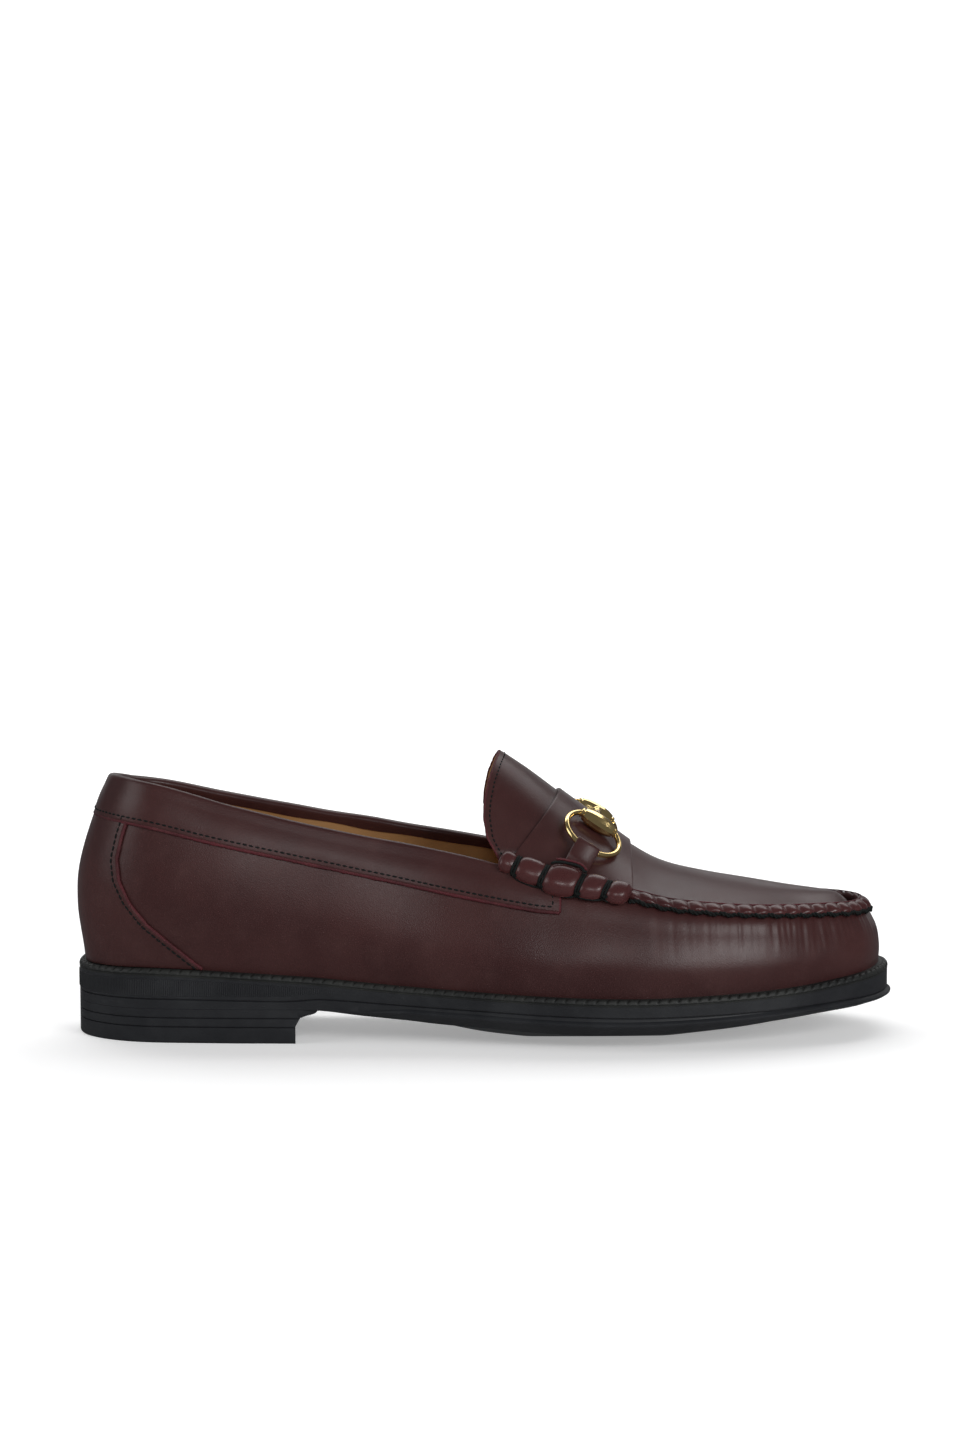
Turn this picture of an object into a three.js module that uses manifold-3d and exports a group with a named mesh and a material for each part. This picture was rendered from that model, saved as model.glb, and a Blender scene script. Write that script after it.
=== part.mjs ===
// Bit loafer, right shoe, as an assembly of its leather, rubber and metal pieces.
// Millimetres, +Z up, toe along +X, lateral side towards -Y, origin under the middle of the sole.

import * as THREE from 'three';
import { mergeVertices } from 'three/addons/utils/BufferGeometryUtils.js';
import Module from 'manifold-3d';

const wasm = await Module();
wasm.setup();
const { Vector2, Vector3 } = THREE;

// Driving sizes of the last
const lastLength = 292; // heel to toe along the line where the upper meets the welt
const ballWidth = 99; // widest, along the same line
const instepHeight = 110; // top of the last above the floor
const seatHeight = 27; // top of the welt above the floor, at the heel

// Leather
const upperWall = 2; // outer leather and lining together
const overlayWall = 1.2; // counter, saddle strap and collar band
const foldDepth = 5; // how far the collar band turns down inside
const insoleThickness = 3;
const tabWidth = 9.2;
const tabWall = 1.1;

// Seam ridge and rolls
const ridgeHalfHeight = 2.5;
const ridgeHalfThickness = 1.9;
const rollHalfHeight = 5.6;
const rollHalfThickness = 4;

// Rubber
const weltWidth = 3.3; // welt and sole beyond the upper
const weltDepth = 2.6;
const weltSlope = 1.3; // fall from the upper to the outer edge
const beadOut = 1.3; // the sole's flare beyond its wall
const sideGrooveDepth = 0.9;
const sideGrooveHalf = 0.55;
const edgeInset = 4; // the forefoot's lower edge inside its wall
const treadShare = 0.34; // flat part of the tread, as a share of the half width
const heelHeight = 12.5; // heel block
const breastHollow = 8; // how far the breast curves back at its middle
const filletReach = 8.5;
const filletDrop = 4.6;

// Metal
const wireRadius = 1.05;
const barrelLength = 14.6;
const barrelRadius = 2.5;
const barrelEndRadius = 2.1;
const ringHalfLength = 10.8;
const ringHalfDepth = 10;
const ringDrop = 7.6; // centre of the ring's oval below the barrel
const linkWire = 0.9;
const ballRadius = 1.5;

// Clearances
const gap = 0.3; // between pieces that touch
const runningGap = 0.45; // round the ring inside its tab

// The mesh: columns run round the last, levels climb from the welt to the top
const columnsPerRow = 3;
const spanSteps = [1, 2, 2, 2, 2]; // from the welt: to the widest, half way, seam, crown and ridge

const floorZ = 0;
function range(from, to, count) {
  const step = (to - from) / Math.max(count - 1, 1);
  return Array.from({ length: count }, (_, i) => from + step * i);
}
const lengthAt = (share) => weltWidth + share * lastLength;

// Smooth curve through the rows of a small table of pairs, level beyond its ends
function curveOf(pairs) {
  const slope = (i) => {
    const a = pairs[Math.max(i - 1, 0)];
    const b = pairs[Math.min(i + 1, pairs.length - 1)];
    return (b[1] - a[1]) / (b[0] - a[0]);
  };
  return (x) => {
    if (x <= pairs[0][0]) return pairs[0][1];
    const last = pairs.length - 1;
    if (x >= pairs[last][0]) return pairs[last][1];
    let i = 0;
    while (x > pairs[i + 1][0]) i += 1;
    const span = pairs[i + 1][0] - pairs[i][0];
    const t = (x - pairs[i][0]) / span;
    const h = t * t * (3 - 2 * t);
    const rise = t * (1 - t) * (1 - t) * span * slope(i);
    const fall = t * t * (t - 1) * span * slope(i + 1);
    return pairs[i][1] * (1 - h) + pairs[i + 1][1] * h + rise + fall;
  };
}

// Heights along the shoe. First column: share of the last's length. Second: share of the height named.
const seatShares = curveOf([
  [0, 0.985], [0.1, 1], [0.27, 0.905], [0.4, 0.803], [0.54, 0.737], [0.67, 0.707],
  [0.79, 0.734], [0.89, 0.79], [0.95, 0.86], [1, 0.925],
]);
const ridgeShares = curveOf([
  [0.1, 1.02], [0.2, 1.02], [0.32, 1.01], [0.435, 0.99], [0.505, 0.955], [0.545, 0.894], [0.595, 0.796],
  [0.646, 0.697], [0.685, 0.621], [0.722, 0.568], [0.773, 0.53], [0.825, 0.502], [0.876, 0.48],
  [0.925, 0.465],
]);
const soleEdgeShares = curveOf([
  [0.27, 1], [0.305, 0.968], [0.345, 0.87], [0.395, 0.74], [0.445, 0.63], [0.5, 0.57], [0.59, 0.466],
  [0.67, 0.45], [0.76, 0.54], [0.865, 0.74], [0.93, 0.86], [1, 0.944],
]);
const treadShares = curveOf([
  [0.27, 1], [0.305, 0.96], [0.345, 0.84], [0.395, 0.62], [0.445, 0.37], [0.495, 0.15], [0.54, 0.03],
  [0.56, 0], [0.72, 0], [0.76, 0.07], [0.82, 0.21], [0.87, 0.38], [0.92, 0.6], [0.97, 0.8], [1, 0.92],
]);
// Mid groove of the sole's side, as a share of the way from its bottom edge up to the welt
const grooveShares = curveOf([
  [0.2, 0.3], [0.26, 0.32], [0.3, 0.46], [0.45, 0.62], [0.7, 0.62], [0.9, 0.48], [1, 0.34],
]);

const shareOf = (x) => (x - weltWidth) / lastLength;
const weltTop = (x) => seatHeight * seatShares(shareOf(x));
const ridgeTop = (x) => instepHeight * ridgeShares(shareOf(x));
const soleEdge = (x) => heelHeight * soleEdgeShares(shareOf(x));
const tread = (x) => floorZ + Math.max(0, heelHeight * treadShares(shareOf(x)));

// Sections of the last from the heel to the toe. along and ridge are shares of the last's length,
// lateral and medial of the ball width. The wall's columns are shares of the way in to the ridge and up
// to it: where it is widest, half way, at the seam or collar, and on the crown.
const sectionColumns = [
  'along', 'lateral', 'medial', 'ridge', 'wideIn', 'wideUp', 'midIn', 'midUp', 'seamIn', 'seamUp',
  'seamUpMedial', 'crownIn', 'crownUp',
];
const sectionRows = [
  [0, 0, 0, 0.106, -0.085, 0.25, -0.025, 0.46, 0.29, 0.776, 0.776, 0.6, 0.94],
  [0.015, 0.17, 0.165, 0.11, -0.085, 0.245, -0.025, 0.46, 0.27, 0.78, 0.78, 0.59, 0.94],
  [0.07, 0.29, 0.28, 0.134, -0.09, 0.23, -0.03, 0.46, 0.17, 0.77, 0.77, 0.52, 0.93],
  [0.17, 0.323, 0.303, 0.195, -0.12, 0.22, -0.07, 0.45, 0.14, 0.7, 0.7, 0.48, 0.92],
  [0.3, 0.338, 0.268, 0.312, -0.104, 0.2, -0.03, 0.42, 0.12, 0.62, 0.62, 0.45, 0.9],
  [0.435, 0.404, 0.288, 0.435, -0.05, 0.17, 0.09, 0.4, 0.24, 0.57, 0.57, 0.58, 0.88],
  [0.57, 0.495, 0.394, 0.57, -0.03, 0.16, 0.08, 0.39, 0.205, 0.565, 0.55, 0.6, 0.895],
  [0.7, 0.52, 0.475, 0.694, -0.02, 0.24, 0.058, 0.5, 0.185, 0.71, 0.69, 0.57, 0.9],
  [0.83, 0.44, 0.455, 0.812, -0.02, 0.27, 0.045, 0.56, 0.155, 0.775, 0.745, 0.55, 0.94],
  [0.92, 0.31, 0.37, 0.876, -0.02, 0.27, 0.05, 0.54, 0.19, 0.795, 0.755, 0.55, 0.94],
  [0.977, 0.17, 0.245, 0.91, -0.015, 0.26, 0.055, 0.53, 0.235, 0.785, 0.775, 0.56, 0.935],
  [1, -0.05, 0.05, 0.925, -0.005, 0.24, 0.06, 0.52, 0.27, 0.785, 0.785, 0.57, 0.935],
];
const named = (row) => Object.fromEntries(sectionColumns.map((name, i) => [name, row[i]]));
const sections = sectionRows.map(named);
const halfRows = sections.length - 1;
const rowCount = 2 * halfRows;
const columnCount = rowCount * columnsPerRow;
const halfColumns = columnCount / 2;

// Smooth passage from the second of four values to the third
const spline = (p0, p1, p2, p3, t) => p1 + 0.5 * t * (
  p2 - p0 + t * (2 * p0 - 5 * p1 + 4 * p2 - p3 + t * (3 * p1 - p0 - 3 * p2 + p3))
);

// One value of the table at a place round the last, counted in rows from the heel: lateral side first
function sectionValue(name, place) {
  const at = (k) => {
    const i = ((k % rowCount) + rowCount) % rowCount;
    const isLateral = i <= halfRows;
    const row = sections[isLateral ? i : rowCount - i];
    if (name === 'side') return ballWidth * (isLateral ? -row.lateral : row.medial);
    if (name === 'seamUp' && !isLateral) return row.seamUpMedial;
    return row[name];
  };
  const i = Math.floor(place);
  return spline(at(i - 1), at(i), at(i + 1), at(i + 2), place - i);
}

// The last's own surface: column by column, points from the welt line to the ridge
const wallStations = ['wide', 'mid', 'seam', 'crown'];
const levelPlaces = spanSteps.flatMap((steps, span) => range(0, 1 - 1 / steps, steps).map((t) => [span, t]));
levelPlaces.push([spanSteps.length - 1, 1]);
const levelCount = levelPlaces.length - 1;
const seamLevel = spanSteps[0] + spanSteps[1] + spanSteps[2];
const toeSide = sectionValue('side', halfRows);

function lastColumn(column) {
  const place = column / columnsPerRow;
  const value = (name) => sectionValue(name, place);
  const foot = new Vector3(lengthAt(value('along')), value('side'), 0);
  foot.z = weltTop(foot.x);
  const ridgeX = lengthAt(value('ridge'));
  const forward = THREE.MathUtils.smoothstep(ridgeX, lengthAt(0.7), lengthAt(0.925));
  const top = new Vector3(ridgeX, toeSide * 0.6 * forward, ridgeTop(ridgeX));
  const path = [new Vector2(0, 0)];
  wallStations.forEach((name) => path.push(new Vector2(value(`${name}In`), value(`${name}Up`))));
  path.push(new Vector2(1, 1));
  const ghostFoot = new Vector2(-path[1].x * 0.2, -path[1].y);
  const ghostTop = new Vector2(2 - path[4].x, path[4].y);
  const knots = [ghostFoot, ...path, ghostTop];
  const points = [];
  levelPlaces.forEach(([span, t]) => {
    const [a, b, c, d] = knots.slice(span, span + 4);
    const inward = spline(a.x, b.x, c.x, d.x, t);
    const upward = spline(a.y, b.y, c.y, d.y, t);
    points.push(new Vector3(
      foot.x + (top.x - foot.x) * inward,
      foot.y + (top.y - foot.y) * inward,
      foot.z + (top.z - foot.z) * upward,
    ));
  });
  return points;
}

const lastGrid = Array.from({ length: columnCount }, (_, column) => lastColumn(column));
const wrap = (column) => ((column % columnCount) + columnCount) % columnCount;
const mirrorOf = (column) => wrap(columnCount - column);

// Outward normals of that surface; the ridge looks across to the other side's wall
const lastNormals = lastGrid.map((points, column) => points.map((point, level) => {
  const before = lastGrid[wrap(column - 1)];
  const after = lastGrid[wrap(column + 1)];
  const along = new Vector3().subVectors(after[level], before[level]);
  const upper = level < levelCount ? points[level + 1] : lastGrid[mirrorOf(column)][levelCount - 1];
  const lower = points[Math.max(level - 1, 0)];
  if (level === levelCount) {
    const isEnd = column % halfColumns === 0;
    if (isEnd) return new Vector3(0, 0, 1);
  }
  return new Vector3().crossVectors(along, new Vector3().subVectors(upper, lower)).normalize();
}));
for (let column = 1; column < halfColumns; column += 1) {
  const other = lastNormals[mirrorOf(column)][levelCount];
  const mean = lastNormals[column][levelCount].clone().add(other).normalize();
  lastNormals[column][levelCount] = mean;
  lastNormals[mirrorOf(column)][levelCount] = mean;
}
const footNormals = lastNormals.map((column) => new Vector3(column[0].x, column[0].y, 0).normalize());

// Closed meshes and solids
function geometryOf(positions, triangles) {
  const geometry = new THREE.BufferGeometry();
  const numbers = positions.flatMap((point) => point.toArray());
  geometry.setAttribute('position', new THREE.Float32BufferAttribute(numbers, 3));
  geometry.setIndex(triangles);
  return geometry;
}

function solidOf(geometry) {
  const bare = geometry.clone();
  bare.deleteAttribute('normal');
  bare.deleteAttribute('uv');
  const merged = mergeVertices(bare, 1e-5);
  const index = merged.index.array;
  const kept = [];
  for (let i = 0; i < index.length; i += 3) {
    const [a, b, c] = [index[i], index[i + 1], index[i + 2]];
    if (a !== b && b !== c && c !== a) kept.push(a, b, c);
  }
  const solid = new wasm.Manifold(new wasm.Mesh({
    numProp: 3,
    vertProperties: new Float32Array(merged.attributes.position.array),
    triVerts: new Uint32Array(kept),
  }));
  return solid;
}

function geometryFrom(solid) {
  const mesh = solid.getMesh();
  const geometry = new THREE.BufferGeometry();
  geometry.setAttribute('position', new THREE.BufferAttribute(new Float32Array(mesh.vertProperties), 3));
  geometry.setIndex(new THREE.BufferAttribute(new Uint32Array(mesh.triVerts), 1));
  return geometry;
}

// Quads between neighbouring rings; each ring lists one point for every column
function sideTriangles(ringCount, count, closed) {
  const triangles = [];
  const last = closed ? ringCount : ringCount - 1;
  for (let ring = 0; ring < last; ring += 1) {
    const next = (ring + 1) % ringCount;
    for (let i = 0; i < count; i += 1) {
      const j = (i + 1) % count;
      const [a, b, c, d] = [ring * count + i, ring * count + j, next * count + j, next * count + i];
      triangles.push(a, b, c, a, c, d);
    }
  }
  return triangles;
}

// A lid across a ring from its lateral to its medial side
function lidTriangles(start, faceUp) {
  const triangles = [];
  for (let i = 0; i < halfColumns; i += 1) {
    const [a, b, c, d] = [i, i + 1, mirrorOf(i + 1), mirrorOf(i)].map((k) => start + k);
    const faces = [];
    if (a !== d) faces.push([a, b, d]);
    if (b !== c) faces.push([b, c, d]);
    faces.forEach((f) => triangles.push(...(faceUp ? f : [f[0], f[2], f[1]])));
  }
  return triangles;
}

// Rings listed from the bottom up make a closed block
function blockOf(rings) {
  const triangles = sideTriangles(rings.length, columnCount, false);
  triangles.push(...lidTriangles(0, false));
  triangles.push(...lidTriangles((rings.length - 1) * columnCount, true));
  return solidOf(geometryOf(rings.flat(), triangles));
}

// Rings listed round a section, bottom outside first, make a closed band
function bandOf(rings) {
  return solidOf(geometryOf(rings.flat(), sideTriangles(rings.length, columnCount, true)));
}

// A ring at a distance outside the welt line, with its height a function of the place along the shoe
function ringAt(outward, heightAt, inwardShare = 0) {
  return lastGrid.map((points, column) => {
    const foot = points[0];
    const reach = typeof outward === 'function' ? outward(foot.x) : outward;
    const point = new Vector3(foot.x, foot.y, 0).addScaledVector(footNormals[column], reach);
    const middle = lastGrid[mirrorOf(column)][0];
    point.y += ((foot.y + middle.y) / 2 - point.y) * inwardShare;
    point.z = heightAt(point.x, foot.x);
    return point;
  });
}

// The closed last, grown or shrunk by an offset, standing on a base below the welt's top
function formOf(offset, baseDrop) {
  const base = ringAt(offset, (x, footX) => weltTop(footX) - weltDepth - baseDrop);
  const rings = [base];
  for (let level = 0; level < levelCount; level += 1) {
    rings.push(lastGrid.map((points, column) => {
      const normal = level === 0 ? footNormals[column] : lastNormals[column][level];
      return points[level].clone().addScaledVector(normal, offset);
    }));
  }
  const positions = rings.flat();
  const topStart = positions.length;
  const topIndex = (column) => topStart + Math.min(column, mirrorOf(column) || column);
  for (let column = 0; column <= halfColumns; column += 1) {
    const point = lastGrid[column][levelCount].clone();
    positions.push(point.addScaledVector(lastNormals[column][levelCount], offset));
  }
  const triangles = sideTriangles(rings.length, columnCount, false);
  triangles.push(...lidTriangles(0, false));
  const lastRing = (rings.length - 1) * columnCount;
  for (let i = 0; i < columnCount; i += 1) {
    const j = wrap(i + 1);
    const [c, d] = [topIndex(j), topIndex(i)];
    triangles.push(lastRing + i, lastRing + j, c);
    if (c !== d) triangles.push(lastRing + i, c, d);
  }
  return solidOf(geometryOf(positions, triangles));
}

// Outlines seen from the side. along: share of the last's length. The heights are shares of the instep
// height, given for the lateral and the medial side, and pass from one to the other near the middle.
const sideReach = 90;
const middleReach = 18;
const topLimit = 1.4 * instepHeight;

// Everything above a line drawn along the shoe
function spaceAbove(line, rise = 0, shift = 0) {
  const points = [];
  line.forEach(([along, lateral, medial]) => {
    const x = lengthAt(along) + shift;
    const [near, far] = [instepHeight * lateral + rise, instepHeight * medial + rise];
    [[-sideReach, near], [-middleReach, near], [middleReach, far], [sideReach, far], [sideReach, topLimit],
      [-sideReach, topLimit]].forEach(([y, z]) => points.push(new Vector3(x, y, z)));
  });
  const around = 6;
  const triangles = [];
  for (let i = 0; i < line.length - 1; i += 1) {
    for (let k = 0; k < around; k += 1) {
      const [a, b] = [around * i + k, around * i + ((k + 1) % around)];
      triangles.push(a, b, b + around, a, b + around, a + around);
    }
  }
  const end = around * (line.length - 1);
  [[0, 1, 5], [1, 4, 5], [1, 2, 4], [2, 3, 4]].forEach(([a, b, c]) => {
    triangles.push(a, c, b, end + a, end + b, end + c);
  });
  return solidOf(geometryOf(points, triangles));
}

// A flat outline pushed through the shoe from side to side
function sidePrism(outline) {
  const corners = outline.map(([along, up]) => new Vector2(lengthAt(along), instepHeight * up));
  const shape = new THREE.Shape(corners);
  const geometry = new THREE.ExtrudeGeometry(shape, { depth: 2 * sideReach, bevelEnabled: false });
  geometry.rotateX(Math.PI / 2);
  geometry.translate(0, sideReach, 0);
  return solidOf(geometry);
}

// The finished edge of the collar, on the lateral and on the medial side
const collarLateral = curveOf([
  [0, 0.872], [0.03, 0.871], [0.06, 0.864], [0.1, 0.846], [0.18, 0.787], [0.273, 0.727], [0.36, 0.68],
  [0.435, 0.643], [0.495, 0.611], [0.52, 0.594],
]);
const collarMedial = curveOf([
  [0, 0.86], [0.03, 0.85], [0.06, 0.832], [0.1, 0.811], [0.18, 0.768], [0.273, 0.725], [0.36, 0.689],
  [0.435, 0.656], [0.495, 0.626], [0.52, 0.61],
]);
const collarStart = -0.1;
const collarEnd = 0.52;
const collarSteps = 15;
const collarLine = range(0, collarEnd, collarSteps)
  .map((along) => [along, collarLateral(along), collarMedial(along)]);
collarLine.unshift([collarStart, collarLateral(0), collarMedial(0)]);
const throatLine = [[0.535, 0.592, 0.612], [0.625, 0.75, 0.76], [0.7, 0.88, 0.89]];
const bandLine = [
  [-0.1, 0.735, 0.735], [0.01, 0.731, 0.731], [0.08, 0.715, 0.7], [0.16, 0.665, 0.65],
  [0.25, 0.612, 0.605], [0.39, 0.535, 0.535], [0.455, 0.498, 0.503], [0.56, 0.452, 0.455],
  [0.589, 0.446, 0.448], [0.596, 0.54, 0.54], [0.64, 0.9, 0.9],
];
const counterOutline = [
  [-0.1, 0.1], [0.158, 0.1], [0.156, 0.23], [0.11, 0.33], [0.083, 0.39], [0.061, 0.46], [0.048, 0.53],
  [0.045, 0.6], [0.052, 0.68], [0.065, 0.78], [-0.1, 0.78],
];
const saddleFront = 0.682;
const rollAxis = [[0.522, 0.588], [saddleFront, 0.5]];
const saddleOutline = [[0.6, 0.84], ...rollAxis, [saddleFront, 0.72], [0.64, 0.84]];
const behindSaddle = [
  [0.5, 0.3], [saddleFront + gap / lastLength, 0.3], [saddleFront + gap / lastLength, 1], [0.5, 1],
];
// What lies above the middle of the rolls, for the band that ends under them
const rollCover = (rise) => [
  ...rollAxis.map(([along, up]) => [along + rise / lastLength, up + rise / instepHeight]),
  [0.8, 0.45], [0.8, 1.2], [rollAxis[0][0] + rise / lastLength, 1.2],
];
const tongueOutline = [
  [0.525, 1.0], [0.516, 0.945], [0.511, 0.91], [0.504, 0.855], [0.499, 0.79], [0.498, 0.745], [0.502, 0.68],
  [0.518, 0.61], [0.54, 0.56], [0.75, 0.56], [0.75, 1.0],
];

// The upper is one shell of the last's shape, open at the collar, the throat and underneath
const openLine = [...collarLine, ...throatLine];
const rimRise = gap + overlayWall; // the collar band's fold over the upper's edge
const outerForm = formOf(0, 0);
const innerForm = formOf(-upperWall, 2 * gap);
const overlayInner = formOf(gap, 0);
const overlayOuter = formOf(gap + overlayWall, 0);
const overlayShell = overlayOuter.subtract(overlayInner);
const shell = outerForm.subtract(innerForm);
const upper = shell.subtract(spaceAbove(openLine, -rimRise));

// The tongue continues the shell behind the throat, under the saddle strap
const tongue = shell
  .intersect(spaceAbove(openLine, gap - rimRise, -gap))
  .intersect(sidePrism(tongueOutline));

// The collar band covers the top of the quarters outside, turns over the edge and ends inside
const wallBelowCollar = formOf(gap, 0)
  .subtract(formOf(-upperWall - gap, 2 * gap))
  .subtract(spaceAbove(openLine, gap - rimRise));
const foldedBand = overlayOuter
  .subtract(formOf(-upperWall - gap - overlayWall, 2 * gap))
  .intersect(spaceAbove(bandLine))
  .subtract(spaceAbove(openLine))
  .subtract(sidePrism(rollCover(-gap)))
  .subtract(wallBelowCollar);
const tongueRoom = formOf(gap, 0)
  .subtract(formOf(-upperWall - gap, 2 * gap))
  .intersect(sidePrism(tongueOutline.map(([along, up]) => [along - gap / lastLength, up])));
const collar = foldedBand
  .subtract(innerForm.subtract(spaceAbove(openLine, -foldDepth)))
  .subtract(tongueRoom);

const underWelt = blockOf([
  ringAt(4 * weltWidth, () => floorZ - gap),
  ringAt(4 * weltWidth, (x, footX) => weltTop(footX) + gap),
]);
const counter = overlayShell
  .intersect(sidePrism(counterOutline))
  .subtract(spaceAbove(bandLine, -gap))
  .subtract(underWelt);

const saddle = overlayShell.intersect(sidePrism(saddleOutline));

// Insole, welt, outsole and heel follow the last's base
const seatOf = (x) => weltTop(x) - weltDepth - gap;
const insole = blockOf([
  ringAt(-upperWall - gap, (x, footX) => seatOf(footX) + gap),
  ringAt(-upperWall - gap, (x, footX) => seatOf(footX) + gap + insoleThickness),
]);

const welt = bandOf([
  ringAt(weltWidth, (x, footX) => weltTop(footX) - weltDepth),
  ringAt(weltWidth, (x, footX) => weltTop(footX) - weltSlope),
  ringAt(gap, (x, footX) => weltTop(footX)),
  ringAt(gap, (x, footX) => weltTop(footX) - weltDepth),
]);

const inForefoot = (x) => THREE.MathUtils.smoothstep(x, lengthAt(0.33), lengthAt(0.42));
const grooveOf = (x) => soleEdge(x) + (seatOf(x) - soleEdge(x)) * grooveShares(shareOf(x));
const beadOf = (x) => soleEdge(x) + (grooveOf(x) - soleEdge(x)) * (0.12 + 0.5 * inForefoot(x));
const beadReach = (x) => weltWidth + beadOut * inForefoot(x);
const outsole = blockOf([
  ringAt(0, (x, footX) => Math.min(tread(footX), soleEdge(footX)), 1 - treadShare),
  ringAt((x) => weltWidth - edgeInset * inForefoot(x), (x, footX) => soleEdge(footX)),
  ringAt(beadReach, (x, footX) => beadOf(footX) - 0.4 * inForefoot(footX)),
  ringAt(beadReach, (x, footX) => beadOf(footX) + 0.6),
  ringAt(weltWidth, (x, footX) => grooveOf(footX) - sideGrooveHalf),
  ringAt(weltWidth - sideGrooveDepth, (x, footX) => grooveOf(footX)),
  ringAt(weltWidth, (x, footX) => grooveOf(footX) + sideGrooveHalf),
  ringAt(weltWidth, (x, footX) => seatOf(footX)),
]);

// Heel block: stacked lifts with a hollow breast, rounded into the waist at its top
const heelLifts = [0.48, 0.74];
const heelTop = (x) => Math.min(soleEdge(x), heelHeight) - gap;
const heelRings = [
  ringAt(weltWidth - 0.6, () => floorZ),
  ringAt(weltWidth, () => floorZ + 0.7),
];
heelLifts.forEach((share) => {
  const middle = (x) => heelTop(x) * share;
  heelRings.push(ringAt(weltWidth, (x, footX) => middle(footX) - sideGrooveHalf));
  heelRings.push(ringAt(weltWidth - sideGrooveDepth, (x, footX) => middle(footX)));
  heelRings.push(ringAt(weltWidth, (x, footX) => middle(footX) + sideGrooveHalf));
});
heelRings.push(ringAt(weltWidth, (x, footX) => heelTop(footX)));

const breastLateral = lengthAt(0.265);
const breastMedial = lengthAt(0.255);
const breastSteps = 8;
function breastSolid() {
  const profile = [
    [0, -gap], [0, heelHeight - filletDrop],
    [0.16 * filletReach, heelHeight - 0.62 * filletDrop],
    [0.45 * filletReach, heelHeight - 0.33 * filletDrop],
    [filletReach, heelHeight - 0.12 * filletDrop], [filletReach, heelHeight + gap],
  ];
  const back = lengthAt(-0.2);
  const points = [];
  for (let i = 0; i <= breastSteps; i += 1) {
    const across = (2 * i) / breastSteps - 1;
    const side = across * 0.55 * ballWidth;
    const edge = THREE.MathUtils.lerp(breastLateral, breastMedial, (across + 1) / 2);
    const line = edge - breastHollow * Math.max(0, 1 - (side / (0.38 * ballWidth)) ** 2);
    points.push(new Vector3(back, side, -gap));
    profile.forEach(([out, z]) => points.push(new Vector3(line + out, side, z)));
    points.push(new Vector3(back, side, heelHeight + gap));
  }
  const count = profile.length + 2;
  const triangles = [];
  for (let i = 0; i < breastSteps; i += 1) {
    for (let k = 0; k < count; k += 1) {
      const [a, b] = [i * count + k, i * count + ((k + 1) % count)];
      triangles.push(a, a + count, b + count, a, b + count, b);
    }
  }
  const end = breastSteps * count;
  const corners = [[back, -gap], ...profile, [back, heelHeight + gap]];
  const cap = THREE.ShapeUtils.triangulateShape(corners.map(([x, z]) => new Vector2(x, z)), []);
  cap.forEach(([a, b, c]) => triangles.push(a, b, c, end + a, end + c, end + b));
  return solidOf(geometryOf(points, triangles));
}
const heel = blockOf(heelRings).intersect(breastSolid());

// A place on the last: column and level may fall between the mesh's own
function onLast(column, level, offset = 0) {
  const c = Math.floor(column);
  const l = Math.min(Math.floor(level), levelCount - 1);
  const [u, v] = [column - c, level - l];
  const blend = (grid) => {
    const low = grid[wrap(c)][l].clone().lerp(grid[wrap(c + 1)][l], u);
    const high = grid[wrap(c)][l + 1].clone().lerp(grid[wrap(c + 1)][l + 1], u);
    return low.lerp(high, v);
  };
  const point = blend(lastGrid);
  const normal = blend(lastNormals).normalize();
  return { point: point.addScaledVector(normal, offset), normal };
}

// The column, on one side of the shoe, that passes a given length at a given level
function columnAt(side, x, level) {
  let low = 0;
  let high = halfColumns;
  for (let i = 0; i < 40; i += 1) {
    const middle = (low + high) / 2;
    const column = side < 0 ? middle : columnCount - middle;
    if (onLast(column, level).point.x < x) low = middle;
    else high = middle;
  }
  return side < 0 ? low : columnCount - low;
}

// The level on one side that lies a given distance out from the middle, at a given length
function placeOnSide(side, x, out) {
  let low = seamLevel - 1;
  let high = levelCount;
  for (let i = 0; i < 40; i += 1) {
    const middle = (low + high) / 2;
    const { point } = onLast(columnAt(side, x, middle), middle);
    if (Math.abs(point.y) > out) low = middle;
    else high = middle;
  }
  return onLast(columnAt(side, x, low), low);
}

// A closed tube of oval sections on a route: each stop has a point, two axes and two half sizes
function ovalTube(stops, sides) {
  const points = [];
  stops.forEach(({ point, across, out, halfAcross, halfOut }) => {
    for (let k = 0; k < sides; k += 1) {
      const angle = (2 * Math.PI * k) / sides;
      points.push(point.clone()
        .addScaledVector(across, halfAcross * Math.cos(angle))
        .addScaledVector(out, halfOut * Math.sin(angle)));
    }
  });
  const first = points.length;
  points.push(stops[0].point.clone(), stops[stops.length - 1].point.clone());
  const triangles = sideTriangles(stops.length, sides, false);
  for (let k = 0; k < sides; k += 1) {
    const next = (k + 1) % sides;
    const end = (stops.length - 1) * sides;
    triangles.push(first, next, k, first + 1, end + k, end + next);
  }
  const solid = solidOf(geometryOf(points, triangles));
  if (solid.volume() > 0) return solid;
  for (let i = 0; i < triangles.length; i += 3) {
    [triangles[i + 1], triangles[i + 2]] = [triangles[i + 2], triangles[i + 1]];
  }
  return solidOf(geometryOf(points, triangles));
}

// Stops of a ridge or roll along the seam line
function seamStops(columns, sizeAt, lift) {
  const route = columns.map((column) => onLast(column, seamLevel, lift));
  return route.map(({ point, normal }, i) => {
    const ahead = route[Math.min(i + 1, route.length - 1)].point;
    const behind = route[Math.max(i - 1, 0)].point;
    const along = new Vector3().subVectors(ahead, behind).normalize();
    const across = new Vector3().crossVectors(normal, along).normalize();
    const [halfAcross, halfOut] = sizeAt(i / (route.length - 1));
    return { point, across, out: normal, halfAcross, halfOut };
  });
}

const rollBack = lengthAt(0.526);
const rollFront = lengthAt(0.676);
const seamColumns = (x) => ({ lateral: columnAt(-1, x, seamLevel), medial: columnAt(1, x, seamLevel) });
const rollStarts = seamColumns(rollBack);
const rollEnds = seamColumns(rollFront);

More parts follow.
